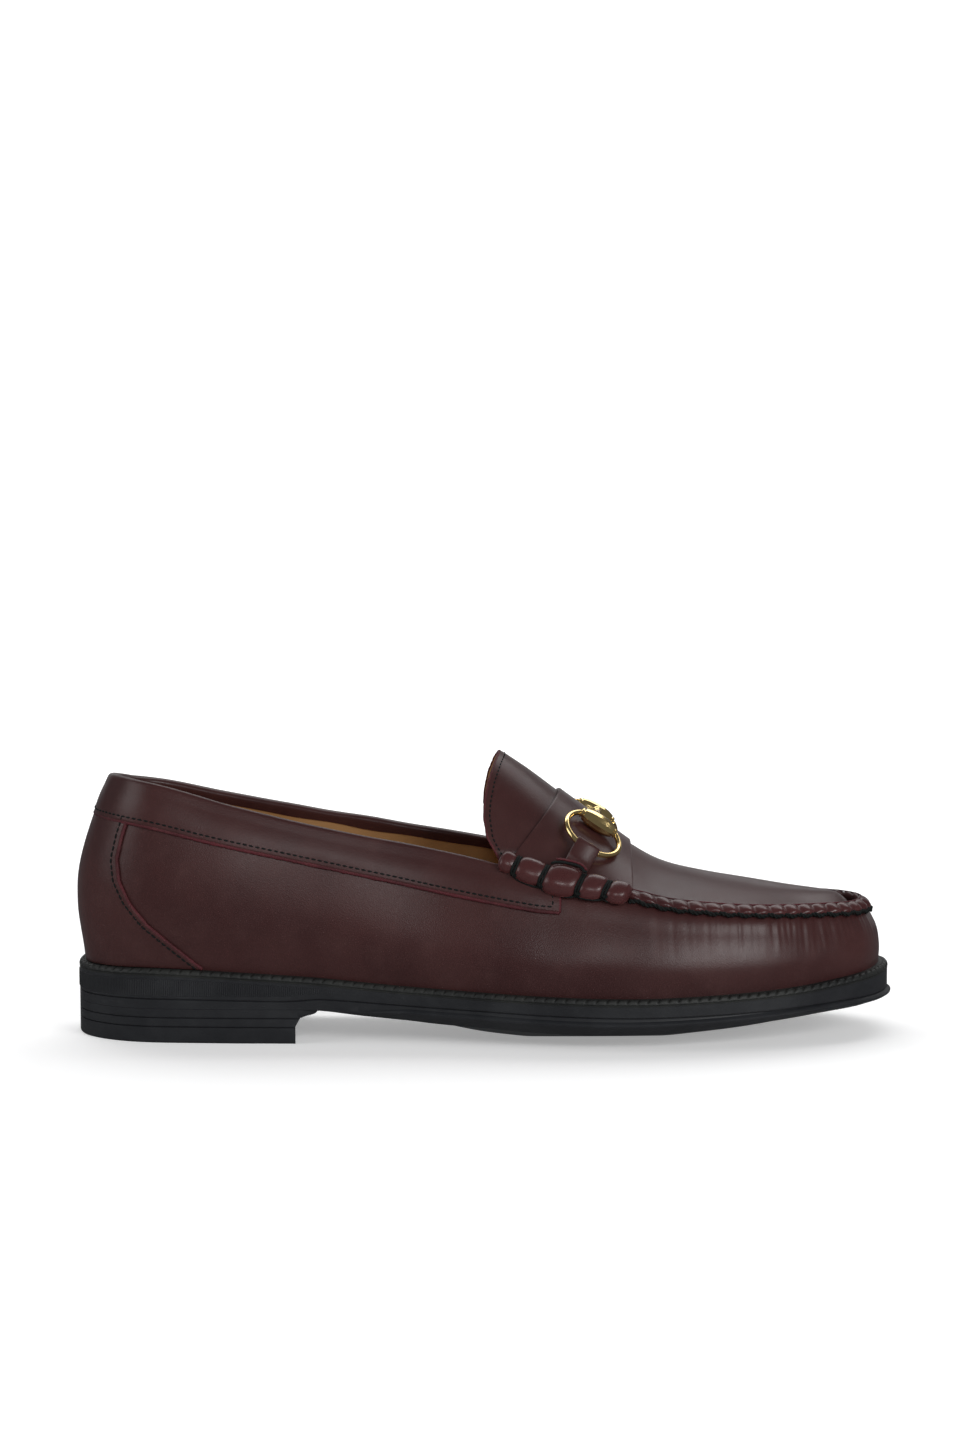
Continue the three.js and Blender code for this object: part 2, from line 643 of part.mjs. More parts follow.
// Raised seam round the toe, from one roll to the other
const ridgeStops = 40;
const ridgeMargin = 0.12;
const apronSeam = ovalTube(
  seamStops(
    range(rollEnds.lateral + ridgeMargin, rollEnds.medial - ridgeMargin, ridgeStops),
    () => [ridgeHalfThickness, ridgeHalfHeight],
    0.45 * ridgeHalfHeight,
  ),
  6,
).subtract(overlayInner).subtract(sidePrism(behindSaddle));

// Rolls: lobes of leather drawn in by the thread wrapped round them. Rows: share of the roll's length,
// share of its size
const rollShape = curveOf([
  [0, 0.5], [0.04, 0.74], [0.085, 0.76], [0.14, 0.88], [0.2, 0.93], [0.26, 0.88], [0.31, 0.78],
  [0.37, 0.96], [0.46, 1.02], [0.55, 0.98], [0.61, 0.8], [0.67, 0.9], [0.73, 0.91], [0.78, 0.86],
  [0.835, 0.72], [0.9, 0.8], [1, 0.6],
]);
const rollStopCount = 19;
function rollTube(side, grown) {
  const columns = range(rollStarts[side], rollEnds[side], rollStopCount);
  const size = (share) => {
    const scale = rollShape(share);
    return [rollHalfHeight * scale + grown, rollHalfThickness * scale + grown];
  };
  return ovalTube(seamStops(columns, size, 0.5 * rollHalfThickness), 10);
}
const rollSolid = (side) => rollTube(side, 0).subtract(formOf(2 * gap + overlayWall, 0));
const rolls = { lateral: rollSolid('lateral'), medial: rollSolid('medial') };

// The bit: on each side a barrel on the strap, its ring, and the tab that holds the ring
const bitAlong = 0.634;
const barrelOut = { lateral: 17, medial: 15 };
const barrelLift = { lateral: 0.2, medial: 0.5 }; // above the strap, beside the clearance
const barLift = { lateral: 0.6, medial: 2.4 };
const strapTop = gap + overlayWall + gap;
const barDrop = ringDrop + ringHalfDepth; // the ring's bar below the barrel

function bitFrame(side) {
  const sign = side === 'lateral' ? -1 : 1;
  const x = lengthAt(bitAlong);
  const seat = placeOnSide(sign, x, barrelOut[side]);
  const ahead = placeOnSide(sign, x + barrelLength / 2, barrelOut[side]);
  const behind = placeOnSide(sign, x - barrelLength / 2, barrelOut[side]);
  const along = new Vector3().subVectors(ahead.point, behind.point).normalize();
  const chord = new Vector3().addVectors(ahead.point, behind.point).multiplyScalar(0.5);
  const lift = strapTop + barrelRadius + barrelLift[side] + seat.point.distanceTo(chord) * 0.5;
  const origin = chord.clone().addScaledVector(seat.normal, lift);
  const foot = placeOnSide(sign, x - 0.3 * barDrop, barrelOut[side] + 0.83 * barDrop);
  const barHeight = strapTop + tabWall + runningGap + wireRadius + barLift[side];
  const bar = foot.point.clone().addScaledVector(foot.normal, barHeight);
  const down = new Vector3().subVectors(bar, origin);
  down.addScaledVector(along, -down.dot(along)).normalize();
  const out = new Vector3().crossVectors(down, along).multiplyScalar(-sign).normalize();
  return { origin, along, down, out };
}
const frames = { lateral: bitFrame('lateral'), medial: bitFrame('medial') };

// A barrel is six-sided, fullest at its middle, with a rim at each end
function barrelSolid({ origin, along, down, out }) {
  const half = barrelLength / 2;
  const profile = [
    [-half, barrelEndRadius], [-half + 1, barrelEndRadius],
    [-half + 1.3, barrelEndRadius - 0.35], [-half + 1.8, barrelEndRadius - 0.1],
    [-2, barrelRadius], [2, barrelRadius],
    [half - 1.8, barrelEndRadius - 0.1], [half - 1.3, barrelEndRadius - 0.35],
    [half - 1, barrelEndRadius], [half, barrelEndRadius],
  ];
  const stops = profile.map(([at, radius]) => ({
    point: origin.clone().addScaledVector(along, at), across: down, out, halfAcross: radius, halfOut: radius,
  }));
  return ovalTube(stops, 8);
}

function ringStops({ origin, along, down, out }) {
  const start = Math.asin(-ringDrop / ringHalfDepth);
  const steps = 18;
  const stops = [];
  for (let i = 0; i <= steps; i += 1) {
    const angle = start + ((Math.PI - 2 * start) * i) / steps;
    const a = ringHalfLength * Math.cos(angle);
    const d = ringDrop + ringHalfDepth * Math.sin(angle);
    const point = origin.clone().addScaledVector(along, a).addScaledVector(down, d);
    const outward = along.clone().multiplyScalar(Math.cos(angle)).addScaledVector(down, Math.sin(angle));
    stops.push({ point, across: outward, out, halfAcross: wireRadius, halfOut: wireRadius });
  }
  return stops;
}
const barrels = {};
const rings = {};
const tabs = {};
['lateral', 'medial'].forEach((side) => {
  const frame = frames[side];
  barrels[side] = barrelSolid(frame);
  const room = ovalTube([-1, 1].map((end) => ({
    point: frame.origin.clone().addScaledVector(frame.along, end * (barrelLength / 2 + gap)),
    across: frame.down, out: frame.out, halfAcross: 2 * barrelRadius, halfOut: 2 * barrelRadius,
  })), 8);
  rings[side] = ovalTube(ringStops(frame), 8).subtract(room);
});

// A tab is a strap end folded round the ring's bar and held under the roll
function tabSolid(side) {
  const { origin, down, out } = frames[side];
  const sag = ringHalfDepth * (1 - Math.sqrt(1 - (tabWidth / 2 / ringHalfLength) ** 2));
  const holeHalf = wireRadius + runningGap;
  const low = -holeHalf - tabWall;
  const [back, front] = [barDrop - sag, barDrop];
  const tail = 7.5;
  const shape = new THREE.Shape();
  shape.absarc(back, 0, holeHalf + tabWall, Math.PI / 2, (3 * Math.PI) / 2, false);
  shape.lineTo(front + tail, low - 1.5);
  shape.lineTo(front + tail, low + 2 * tabWall - 1.2);
  shape.lineTo(front + holeHalf + tabWall, low + 2 * tabWall);
  shape.lineTo(front + 0.5, holeHalf + tabWall);
  const hole = new THREE.Path();
  hole.absarc(back, 0, holeHalf, Math.PI / 2, (3 * Math.PI) / 2, false);
  hole.absarc(front, 0, holeHalf, (3 * Math.PI) / 2, Math.PI / 2, false);
  shape.holes.push(hole);
  const extent = { depth: tabWidth, bevelEnabled: false, curveSegments: 6 };
  const geometry = new THREE.ExtrudeGeometry(shape, extent);
  geometry.translate(0, 0, -tabWidth / 2);
  const third = new Vector3().crossVectors(down, out);
  const basis = new THREE.Matrix4().makeBasis(down, out, third).setPosition(origin);
  geometry.applyMatrix4(basis);
  return solidOf(geometry).subtract(formOf(strapTop, 0)).subtract(rollTube(side, gap));
}
tabs.lateral = tabSolid('lateral');
tabs.medial = tabSolid('medial');

// Middle link: two arms with a ball between them, over the ridge of the strap
function linkSolid() {
  const from = frames.lateral.origin;
  const to = frames.medial.origin;
  const x = lengthAt(bitAlong);
  const ridge = new Vector3(x, 0, ridgeTop(x) + strapTop + ballRadius + 2 * gap);
  const reach = barrelRadius + 2 * gap;
  const start = from.clone().add(new Vector3().subVectors(ridge, from).setLength(reach));
  const end = to.clone().add(new Vector3().subVectors(ridge, to).setLength(reach));
  const bow = new Vector3(0, 0, linkWire);
  const arm = (tip) => tip.clone().lerp(ridge, 0.5).add(bow);
  const curve = new THREE.CatmullRomCurve3([start, arm(start), ridge, arm(end), end]);
  const steps = 12;
  const ball = ballRadius / linkWire;
  const sizes = curveOf([[0, 1.7], [0.12, 1], [0.38, 1], [0.5, ball], [0.62, 1], [0.88, 1], [1, 1.7]]);
  const stops = range(0, 1, steps + 1).map((t) => {
    const tangent = curve.getTangentAt(t);
    const across = new Vector3().crossVectors(tangent, new Vector3(0, 0, 1)).normalize();
    const out = new Vector3().crossVectors(across, tangent);
    const radius = linkWire * sizes(t);
    return { point: curve.getPointAt(t), across, out, halfAcross: radius, halfOut: radius };
  });
  return ovalTube(stops, 8);
}
const link = linkSolid();

// Materials
const leather = new THREE.MeshStandardMaterial({ color: '#46292b', roughness: 0.42, metalness: 0 });
const lining = new THREE.MeshStandardMaterial({ color: '#8a5c33', roughness: 0.7, metalness: 0 });
const rubber = new THREE.MeshStandardMaterial({ color: '#25272a', roughness: 0.62, metalness: 0 });
const metal = new THREE.MeshStandardMaterial({ color: '#c9a860', roughness: 0.2, metalness: 1 });

const shoe = new THREE.Group();
function add(name, solid, material) {
  const mesh = new THREE.Mesh(geometryFrom(solid), material);
  mesh.name = name;
  shoe.add(mesh);
}
add('outsole', outsole, rubber);
add('heel', heel, rubber);
add('welt', welt, rubber);
add('insole', insole, lining);
add('upper', upper, leather);
add('tongue', tongue, leather);
add('collar', collar, leather);
add('counter', counter, leather);
add('saddle', saddle, leather);
add('apron_seam', apronSeam, leather);
['lateral', 'medial'].forEach((side) => {
  add(`roll_${side}`, rolls[side], leather);
  add(`tab_${side}`, tabs[side], leather);
  add(`ring_${side}`, rings[side], metal);
  add(`barrel_${side}`, barrels[side], metal);
});
add('bit_link', link, metal);

// The origin lies under the middle of the box
const box = new THREE.Box3().setFromObject(shoe);
shoe.position.set(-(box.min.x + box.max.x) / 2, -(box.min.y + box.max.y) / 2, -box.min.z);
shoe.updateMatrixWorld(true);

export default shoe;
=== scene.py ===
# Bit loafer, right shoe: leather, thread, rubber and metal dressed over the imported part.
# Shapes are worked out in millimetres from the back of the heel and placed in the part's frame.
import math

import bpy
import numpy as np
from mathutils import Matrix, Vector


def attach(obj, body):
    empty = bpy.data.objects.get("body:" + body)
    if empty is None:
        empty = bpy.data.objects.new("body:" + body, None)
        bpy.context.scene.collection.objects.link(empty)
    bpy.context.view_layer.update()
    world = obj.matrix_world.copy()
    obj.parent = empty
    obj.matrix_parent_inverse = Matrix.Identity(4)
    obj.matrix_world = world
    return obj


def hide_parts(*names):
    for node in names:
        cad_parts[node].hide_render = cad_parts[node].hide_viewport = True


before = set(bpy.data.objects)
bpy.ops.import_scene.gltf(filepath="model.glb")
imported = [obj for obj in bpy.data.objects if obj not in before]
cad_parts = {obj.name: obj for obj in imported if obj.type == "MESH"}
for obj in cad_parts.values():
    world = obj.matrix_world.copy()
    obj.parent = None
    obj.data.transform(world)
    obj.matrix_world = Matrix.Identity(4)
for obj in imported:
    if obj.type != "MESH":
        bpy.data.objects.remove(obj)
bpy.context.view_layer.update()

last = {"length": 292, "width": 99, "instep": 110, "seat": 27, "welt": 3.3, "heel": 12.5,
        "toeTurn": .03}  # the toe points inward by this share of the width
placeInFrame = np.array([-149.537, 2.161, 0])  # from the back of the heel to the part's origin


# Small maths
def spline(a, b, c, d, t):
    return b + .5 * t * (c - a + t * (2 * a - 5 * b + 4 * c - d + t * (3 * b - a - 3 * c + d)))


def through(knots, t):  # points at t along a row of knots, the first and last of them outside the route
    i = np.clip(t.astype(int), 0, len(knots) - 4)
    return spline(*(knots[i + k] for k in range(4)), (t - i)[:, None])


def smooth(x, low, high):
    t = np.clip((x - low) / (high - low), 0, 1)
    return t * t * (3 - 2 * t)


def unit(v):
    size = np.linalg.norm(v, axis=-1, keepdims=True)
    return np.where(size > 1e-9, v / np.maximum(size, 1e-9), np.array([0., 0., 1.]))


def curveOf(pairs):
    x, y = np.array(pairs, float).T
    before, after = np.r_[0, 0:len(x) - 1], np.r_[1:len(x), len(x) - 1]
    slope = (y[after] - y[before]) / (x[after] - x[before])

    def value(at):
        at = np.clip(at, x[0], x[-1])
        i = np.clip(np.searchsorted(x, at, side="right") - 1, 0, len(x) - 2)
        span = x[i + 1] - x[i]
        t = (at - x[i]) / span
        h = t * t * (3 - 2 * t)
        lean = t * (1 - t) ** 2 * span * slope[i] + t * t * (t - 1) * span * slope[i + 1]
        return y[i] * (1 - h) + y[i + 1] * h + lean
    return value


def waves(x, y, size, count, seed):  # soft unevenness of a surface, as a sum of slanted waves
    pick = np.random.default_rng(seed)
    total = 0
    for _ in range(count):
        turn, phase, stretch = pick.uniform(0, math.pi), pick.uniform(0, 2 * math.pi), pick.uniform(.7, 1.5)
        along = x * math.cos(turn) + y * math.sin(turn)
        total = total + np.sin(along * 2 * math.pi / (size * stretch) + phase)
    return total / count


# The last: a table of sections from heel to toe, the same shares as the part's own
seatShares = curveOf([
    (0, .985), (.1, 1), (.27, .905), (.4, .803), (.54, .737), (.67, .707), (.79, .734), (.89, .79),
    (.95, .86), (1, .925)])
ridgeShares = curveOf([
    (.1, 1.02), (.2, 1.02), (.32, 1.01), (.435, .99), (.505, .955), (.545, .894), (.595, .796), (.646, .697),
    (.685, .621), (.722, .568), (.773, .53), (.825, .502), (.876, .48), (.925, .465)])
soleEdgeShares = curveOf([
    (.27, 1), (.305, .968), (.345, .87), (.395, .74), (.445, .63), (.5, .57), (.59, .466), (.67, .45),
    (.76, .54), (.865, .74), (.93, .86), (1, .944)])
treadShares = curveOf([
    (.27, 1), (.305, .96), (.345, .84), (.395, .62), (.445, .37), (.495, .15), (.54, .03), (.56, 0), (.72, 0),
    (.76, .07), (.82, .21), (.87, .38), (.92, .6), (.97, .8), (1, .92)])
grooveShares = curveOf([(.2, .3), (.26, .32), (.3, .46), (.45, .62), (.7, .62), (.9, .48), (1, .34)])
sectionNames = ("along lateral medial ridge wideIn wideUp midIn midUp seamIn seamUp seamUpMedial "
                "crownIn crownUp").split()
sections = np.array([
    (0, 0, 0, .106, -.085, .25, -.025, .46, .29, .776, .776, .6, .94),
    (.015, .17, .165, .11, -.085, .245, -.025, .46, .27, .78, .78, .59, .94),
    (.07, .29, .28, .134, -.09, .23, -.03, .46, .17, .77, .77, .52, .93),
    (.17, .323, .303, .195, -.12, .22, -.07, .45, .14, .7, .7, .48, .92),
    (.3, .338, .268, .312, -.104, .2, -.03, .42, .12, .62, .62, .45, .9),
    (.435, .404, .288, .435, -.05, .17, .09, .4, .24, .57, .57, .58, .88),
    (.57, .495, .394, .57, -.03, .16, .08, .39, .205, .565, .55, .6, .895),
    (.7, .52, .475, .694, -.02, .24, .058, .5, .185, .71, .69, .57, .9),
    (.83, .44, .455, .812, -.02, .27, .045, .56, .155, .775, .745, .55, .94),
    (.92, .31, .37, .876, -.02, .27, .05, .54, .19, .795, .755, .55, .94),
    (.977, .17, .245, .91, -.015, .26, .055, .53, .235, .785, .775, .56, .935),
    (1, -.05, .05, .925, -.005, .24, .06, .52, .27, .785, .785, .57, .935)])
around = 2 * (len(sections) - 1)  # rows round the shoe: heel, lateral side, toe, medial side
seam = 3  # level of the apron seam; the welt is 0 and the ridge 5


def lengthAt(share):
    return last["welt"] + share * last["length"]


def shareOf(x):
    return (x - last["welt"]) / last["length"]


def weltTop(x):
    return last["seat"] * seatShares(shareOf(x))


def fromTable(name, u):
    u = np.mod(u, around)
    i = np.floor(u).astype(int)

    def row(k):
        k = np.mod(k, around)
        isLateral = k <= around // 2
        r = np.where(isLateral, k, around - k)
        if name == "side":
            return last["width"] * np.where(isLateral, -sections[r, 1], sections[r, 2])
        if name == "seamUp":
            return np.where(isLateral, sections[r, 9], sections[r, 10])
        return sections[r, sectionNames.index(name)]
    return spline(row(i - 1), row(i), row(i + 1), row(i + 2), u - i)


def surface(u, v):
    u, v = np.broadcast_arrays(np.asarray(u, float), np.asarray(v, float))
    over = v > 5  # past the ridge and down the other side
    u = np.where(over, around - u, u)
    v = np.clip(np.where(over, 10 - v, v), 0, 5)
    footX, footY = lengthAt(fromTable("along", u)), fromTable("side", u)
    footZ = weltTop(footX)
    topX = lengthAt(fromTable("ridge", u))
    topY = last["toeTurn"] * last["width"] * smooth(topX, lengthAt(.7), lengthAt(.925))
    topZ = last["instep"] * ridgeShares(shareOf(topX))
    inward, upward = ([fromTable(name + way, u) for name in ("wide", "mid", "seam", "crown")]
                      for way in ("In", "Up"))
    knotsIn = np.stack([-.2 * inward[0], 0 * u, *inward, 0 * u + 1, 2 - inward[3]])
    knotsUp = np.stack([-upward[0], 0 * u, *upward, 0 * u + 1, upward[3]])
    span = np.minimum(v.astype(int), 4)

    def along(knots):
        return spline(*[np.take_along_axis(knots, (span + j)[None], 0)[0] for j in range(4)], v - span)
    into, up = along(knotsIn), along(knotsUp)
    return np.stack([footX + (topX - footX) * into, footY + (topY - footY) * into,
                     footZ + (topZ - footZ) * up], -1)


def axesAt(u, v):  # point, outward normal, climbing direction, direction round the shoe
    e = 2e-3
    p = surface(u, v)
    roundShoe = surface(u + e, v) - surface(u - e, v)
    climb = surface(u, v + e) - surface(u, np.maximum(v - e, 0))
    normal = unit(np.cross(roundShoe, climb))
    return p, normal, unit(climb), unit(roundShoe)


def skin(u, v, out):  # points a distance outside the last
    p, normal, _, _ = axesAt(u, v)
    return p + normal * np.asarray(out)[..., None]


def footNormal(u):
    _, normal, _, _ = axesAt(u, np.zeros_like(u))
    normal[..., 2] = 0
    return unit(normal)


def columnAt(side, share, v):  # where a level passes a length; side -1 lateral, 1 medial
    u = np.linspace(0, around / 2, 1500)
    x = surface(u if side < 0 else around - u, v)[:, 0]
    found = np.interp(lengthAt(share), x, u)
    return found if side < 0 else around - found


def sideToSide(lateral, medial):  # a line drawn along the shoe, as a height over x and y
    def height(x, y):
        t = np.clip((y + 18) / 36, 0, 1)
        s = shareOf(x)
        return last["instep"] * (lateral(s) * (1 - t) + medial(s) * t)
    return height


def firstCrossing(over, at, otherwise):  # where each row of over first turns positive
    crossed = (over[:, :-1] < 0) & (over[:, 1:] >= 0)
    k = crossed.argmax(1)
    a, b = (np.take_along_axis(over, (k + j)[:, None], 1)[:, 0] for j in range(2))
    return np.where(crossed.any(1), at[k] + (at[1] - at[0]) * a / np.where(a == b, 1, a - b), otherwise)


def cutAt(u, height):  # level where each column first climbs over a line
    v = np.linspace(0, 5, 300)
    p = surface(*np.meshgrid(u, v, indexing="ij"))
    return firstCrossing(p[..., 2] - height(p[..., 0], p[..., 1]), v, 5)


def edgeAt(levels, start, stop, test):  # column where each row first passes an outline
    t = np.linspace(0, 1, 300)
    u = start + (stop - start) * t[None, :] + 0 * levels(np.zeros((1, 1)))
    return start + (stop - start) * firstCrossing(test(surface(u, levels(u))), t, 1)


def evenly(u, v, pitch, phase=0.):  # the same route with stops a pitch apart
    run = np.r_[0, np.cumsum(np.linalg.norm(np.diff(surface(u, v), axis=0), axis=1))]
    at = np.arange(phase * pitch, run[-1], pitch)
    return np.interp(at, run, u), np.interp(at, run, v), at


# Meshes
def gridFaces(rows, columns, closeRows=False, closeColumns=False):
    i, j = np.meshgrid(np.arange(rows if closeRows else rows - 1),
                       np.arange(columns if closeColumns else columns - 1), indexing="ij")
    i, j = i.ravel(), j.ravel()
    nextI, nextJ = (i + 1) % rows, (j + 1) % columns
    return np.stack([i * columns + j, i * columns + nextJ, nextI * columns + nextJ, nextI * columns + j], 1)


def joined(parts):
    starts = np.cumsum([0] + [len(p) for p, _ in parts[:-1]])
    return np.concatenate([p for p, _ in parts]), np.concatenate([f + n for (_, f), n in zip(parts, starts)])


def tube(rings, closed=False):  # rings of points, one after the other, with a fan over each open end
    stops, sides = rings.shape[:2]
    faces, points = gridFaces(stops, sides, closed, True), rings.reshape(-1, 3)
    if closed:
        return points, faces
    k = np.arange(sides)
    n, nextK, far = len(points), (k + 1) % sides, (stops - 1) * sides
    low = np.stack([k * 0 + n, nextK, k, k], 1)
    high = np.stack([k * 0 + n + 1, far + k, far + nextK, far + nextK], 1)
    return np.concatenate([points, [rings[0].mean(0), rings[-1].mean(0)]]), np.concatenate([faces, low, high])


def sheet(top, low):  # two grids of points, closed round their border
    rows, columns = top.shape[:2]
    faces, n = gridFaces(rows, columns), rows * columns
    border = np.concatenate([np.arange(columns), columns * np.arange(1, rows) + columns - 1,
                             (rows - 1) * columns + np.arange(columns - 2, -1, -1),
                             columns * np.arange(rows - 2, 0, -1)])
    after = np.roll(border, -1)
    wall = np.stack([after, border, border + n, after + n], 1)
    points = np.concatenate([top.reshape(-1, 3), low.reshape(-1, 3)])
    return points, np.concatenate([faces, faces[:, ::-1] + n, wall])


def beside(path, normal):  # direction square to a path and to a normal
    return unit(np.cross(unit(np.gradient(path, axis=0)), normal))


def sweep(centres, sideways, outward, profile, closed=False):  # profile: a closed loop at each stop
    across, out = profile[..., :1] * sideways[:, None], profile[..., 1:] * outward[:, None]
    return tube(centres[:, None] + across + out, closed)


def turnBy(count):  # angles all the way round
    return np.linspace(0, 2 * math.pi, count, endpoint=False)


def ring(radius, sides=8, turn=0.):
    a = turnBy(sides) + turn
    return np.stack([radius * np.cos(a), radius * np.sin(a)], 1)


def cord(path, radius, sides=7, outward=(.13, -.2, 1.), closed=False):  # round thread or wire along points
    ahead = unit(np.roll(path, -1, 0) - np.roll(path, 1, 0) if closed else np.gradient(path, axis=0))
    sideways = unit(np.cross(np.broadcast_to(outward, path.shape), ahead))
    profile = ring(1., sides) * np.broadcast_to(radius, len(path))[:, None, None]
    return sweep(path, sideways, unit(np.cross(ahead, sideways)), profile, closed)


def stitches(u, v, pitch, length, radius, out):  # a row of stitches along a route on the last
    su, sv, _ = evenly(u, v, pitch, phase=.5)
    p, normal, _, _ = axesAt(su, sv)
    ahead = unit(np.gradient(p, axis=0))
    parts = []
    t = np.array([-1, -.8, -.3, .3, .8, 1])
    thick = np.array([.25, .8, 1, 1, .8, .25]) * radius
    dip = np.array([-1.3, -.45, .15, .15, -.45, -1.3]) * radius
    for k in range(len(su)):
        path = p[k] + ahead[k] * (t * length / 2)[:, None] + normal[k] * (out + dip)[:, None]
        parts.append(cord(path, thick, 6, normal[k]))
    return joined(parts)


def piece(name, shape, material, stands=(), sharp=40):
    points, faces = shape
    keys = np.round(points / .001).astype(np.int64)
    _, first, inverse = np.unique(keys, axis=0, return_index=True, return_inverse=True)
    points, faces = points[first], inverse.reshape(-1)[faces]
    faces = faces[(faces != np.roll(faces, -1, 1)).sum(1) > 2]
    a, b, c, d = (points[faces[:, k]] for k in range(4))
    volume = np.einsum("ij,ij->i", a, np.cross(b, c)).sum() + np.einsum("ij,ij->i", a, np.cross(c, d)).sum()
    if volume < 0:
        faces = faces[:, ::-1]
    keep = faces != np.roll(faces, -1, 1)
    sizes, corners = keep.sum(1), faces[keep]
    mesh = bpy.data.meshes.new(name)
    mesh.vertices.add(len(points))
    mesh.vertices.foreach_set("co", ((points + placeInFrame) * .001).ravel())
    mesh.loops.add(len(corners))
    mesh.loops.foreach_set("vertex_index", corners.astype(np.int32))
    mesh.polygons.add(len(sizes))
    mesh.polygons.foreach_set("loop_start", np.r_[0, np.cumsum(sizes)[:-1]].astype(np.int32))
    mesh.update(calc_edges=True)
    mesh.validate()
    mesh.polygons.foreach_set("use_smooth", np.ones(len(mesh.polygons), bool))
    mesh.set_sharp_from_angle(angle=math.radians(sharp))
    mesh.materials.append(material)
    shown = bpy.data.objects.new(name, mesh)
    bpy.context.scene.collection.objects.link(shown)
    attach(shown, "root")
    if stands:
        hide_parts(*stands)
    return shown


def sewn(name, parts):
    piece(name, joined(parts), blackThread, sharp=180)


def cutEdge(name, shape):
    piece(name, shape, rawEdge, sharp=180)


# Shader sheets
class Wire:
    def __init__(self, sheet, socket):
        self.sheet, self.socket = sheet, socket

    def __add__(self, other): return self.sheet.math("ADD", self, other)
    def __radd__(self, other): return self.sheet.math("ADD", other, self)
    def __sub__(self, other): return self.sheet.math("SUBTRACT", self, other)
    def __rsub__(self, other): return self.sheet.math("SUBTRACT", other, self)
    def __mul__(self, other): return self.sheet.math("MULTIPLY", self, other)
    def __rmul__(self, other): return self.sheet.math("MULTIPLY", other, self)


class Sheet:
    def __init__(self, name, **fixed):
        self.material = bpy.data.materials.new(name)
        self.material.use_nodes = True
        self.tree = self.material.node_tree
        self.surface = self.tree.nodes["Principled BSDF"]
        for socket, value in fixed.items():
            self.set(socket.replace("_", " "), value)

    def put(self, socket, value):
        if isinstance(value, Wire):
            self.tree.links.new(value.socket, socket)
        elif isinstance(value, tuple) and socket.type == "RGBA":
            socket.default_value = (*value, 1)
        else:
            socket.default_value = value

    def set(self, name, value):
        self.put(self.surface.inputs[name], value)

    def node(self, kind, settings, values, output=0):
        made = self.tree.nodes.new(kind)
        for name, setting in settings.items():
            setattr(made, name, setting)
        for name, value in values.items():
            self.put(made.inputs[name], value)
        return Wire(self, made.outputs[output])

    def math(self, kind, a, b):
        return self.node("ShaderNodeMath", {"operation": kind}, {0: a, 1: b})

    def mix(self, factor, a, b):
        return self.node("ShaderNodeMix", {"data_type": "RGBA"}, {0: factor, 6: a, 7: b}, 2)

    def between(self, value, low, high):
        return self.node("ShaderNodeMapRange", {"clamp": True, "interpolation_type": "SMOOTHSTEP"},
                         {"Value": value, "From Min": low, "From Max": high})

    def place(self, stretch=(1, 1, 1)):
        where = self.node("ShaderNodeTexCoord", {}, {}, "Object")
        return self.node("ShaderNodeMapping", {}, {"Vector": where, "Scale": stretch})

    def noise(self, vector, scale, detail=3., rough=.5):
        return self.node("ShaderNodeTexNoise", {},
                         {"Vector": vector, "Scale": scale, "Detail": detail, "Roughness": rough})

    def cells(self, vector, scale):
        return self.node("ShaderNodeTexVoronoi", {}, {"Vector": vector, "Scale": scale})

    def bump(self, height, depth, strength):
        return self.node("ShaderNodeBump", {}, {"Height": height, "Distance": depth, "Strength": strength})


def leatherSheet(name, colour, dark, light, rough, grainDepth, coat):
    sheet = Sheet(name, Coat_Roughness=.25, Specular_IOR_Level=.27)
    where = sheet.place()
    pebbles = sheet.cells(where, 2300)
    pores = sheet.noise(where, 3200, 2.)
    cloud = sheet.noise(where, 26, 4., .55)
    streak = sheet.noise(where, 120, 3.)
    shade = sheet.mix(sheet.between(cloud, .35, .7), colour, dark)
    shade = sheet.mix(sheet.between(streak, .5, .8) * .35, shade, light)
    shade = sheet.mix(sheet.between(pores, .62, .75) * .3, shade, dark)
    sheet.set("Base Color", shade)
    sheet.set("Roughness", rough + (streak - .5) * .16 + (pores - .5) * .1)
    sheet.set("Coat Weight", coat)
    grain = pebbles * .6 + pores * .4 + cloud * .5
    sheet.set("Normal", sheet.bump(grain, grainDepth, .9))
    return sheet.material


shoeLeather = leatherSheet("shoe_leather", (.049, .017, .0162), dark=(.0365, .0117, .0115),
                           light=(.062, .0235, .0222), rough=.36, grainDepth=.00006, coat=.05)
rollLeather = leatherSheet("roll_leather", (.060, .0175, .0175), dark=(.042, .012, .0125),
                           light=(.074, .024, .024), rough=.3, grainDepth=.00003, coat=.15)
liningLeather = leatherSheet("lining_leather", (.42, .235, .1), dark=(.36, .19, .075), light=(.5, .3, .14),
                             rough=.62, grainDepth=.00005, coat=0.)
# Cut edges: the light tone, laid in random streaks, is a painted highlight; the base and dark tones are the
# edge's own colour.
rawEdge = leatherSheet("raw_edge", (.085, .012, .017), dark=(.04, .008, .01), light=(.16, .05, .05), rough=.6,
                       grainDepth=.00025, coat=0.)


def threadSheet():
    sheet = Sheet("black_thread", Roughness=.78, Specular_IOR_Level=.2)
    where = sheet.place()
    fibres = sheet.noise(where, 2600, 2.)
    sheet.set("Base Color", sheet.mix(fibres, (.0022, .003, .0028), (.0085, .011, .0105)))
    sheet.set("Normal", sheet.bump(fibres, .00012, .8))
    return sheet.material


def rubberSheet(name, colour, worn, rough):
    sheet = Sheet(name, Specular_IOR_Level=.3)
    where = sheet.place()
    mottle = sheet.noise(where, 60, 4., .6)
    fine = sheet.noise(where, 1400, 3.)
    sheet.set("Base Color", sheet.mix(sheet.between(mottle, .35, .75), colour, worn))
    sheet.set("Roughness", rough + (mottle - .5) * .2)
    sheet.set("Normal", sheet.bump(fine + mottle * .6, .00006, .8))
    return sheet.material


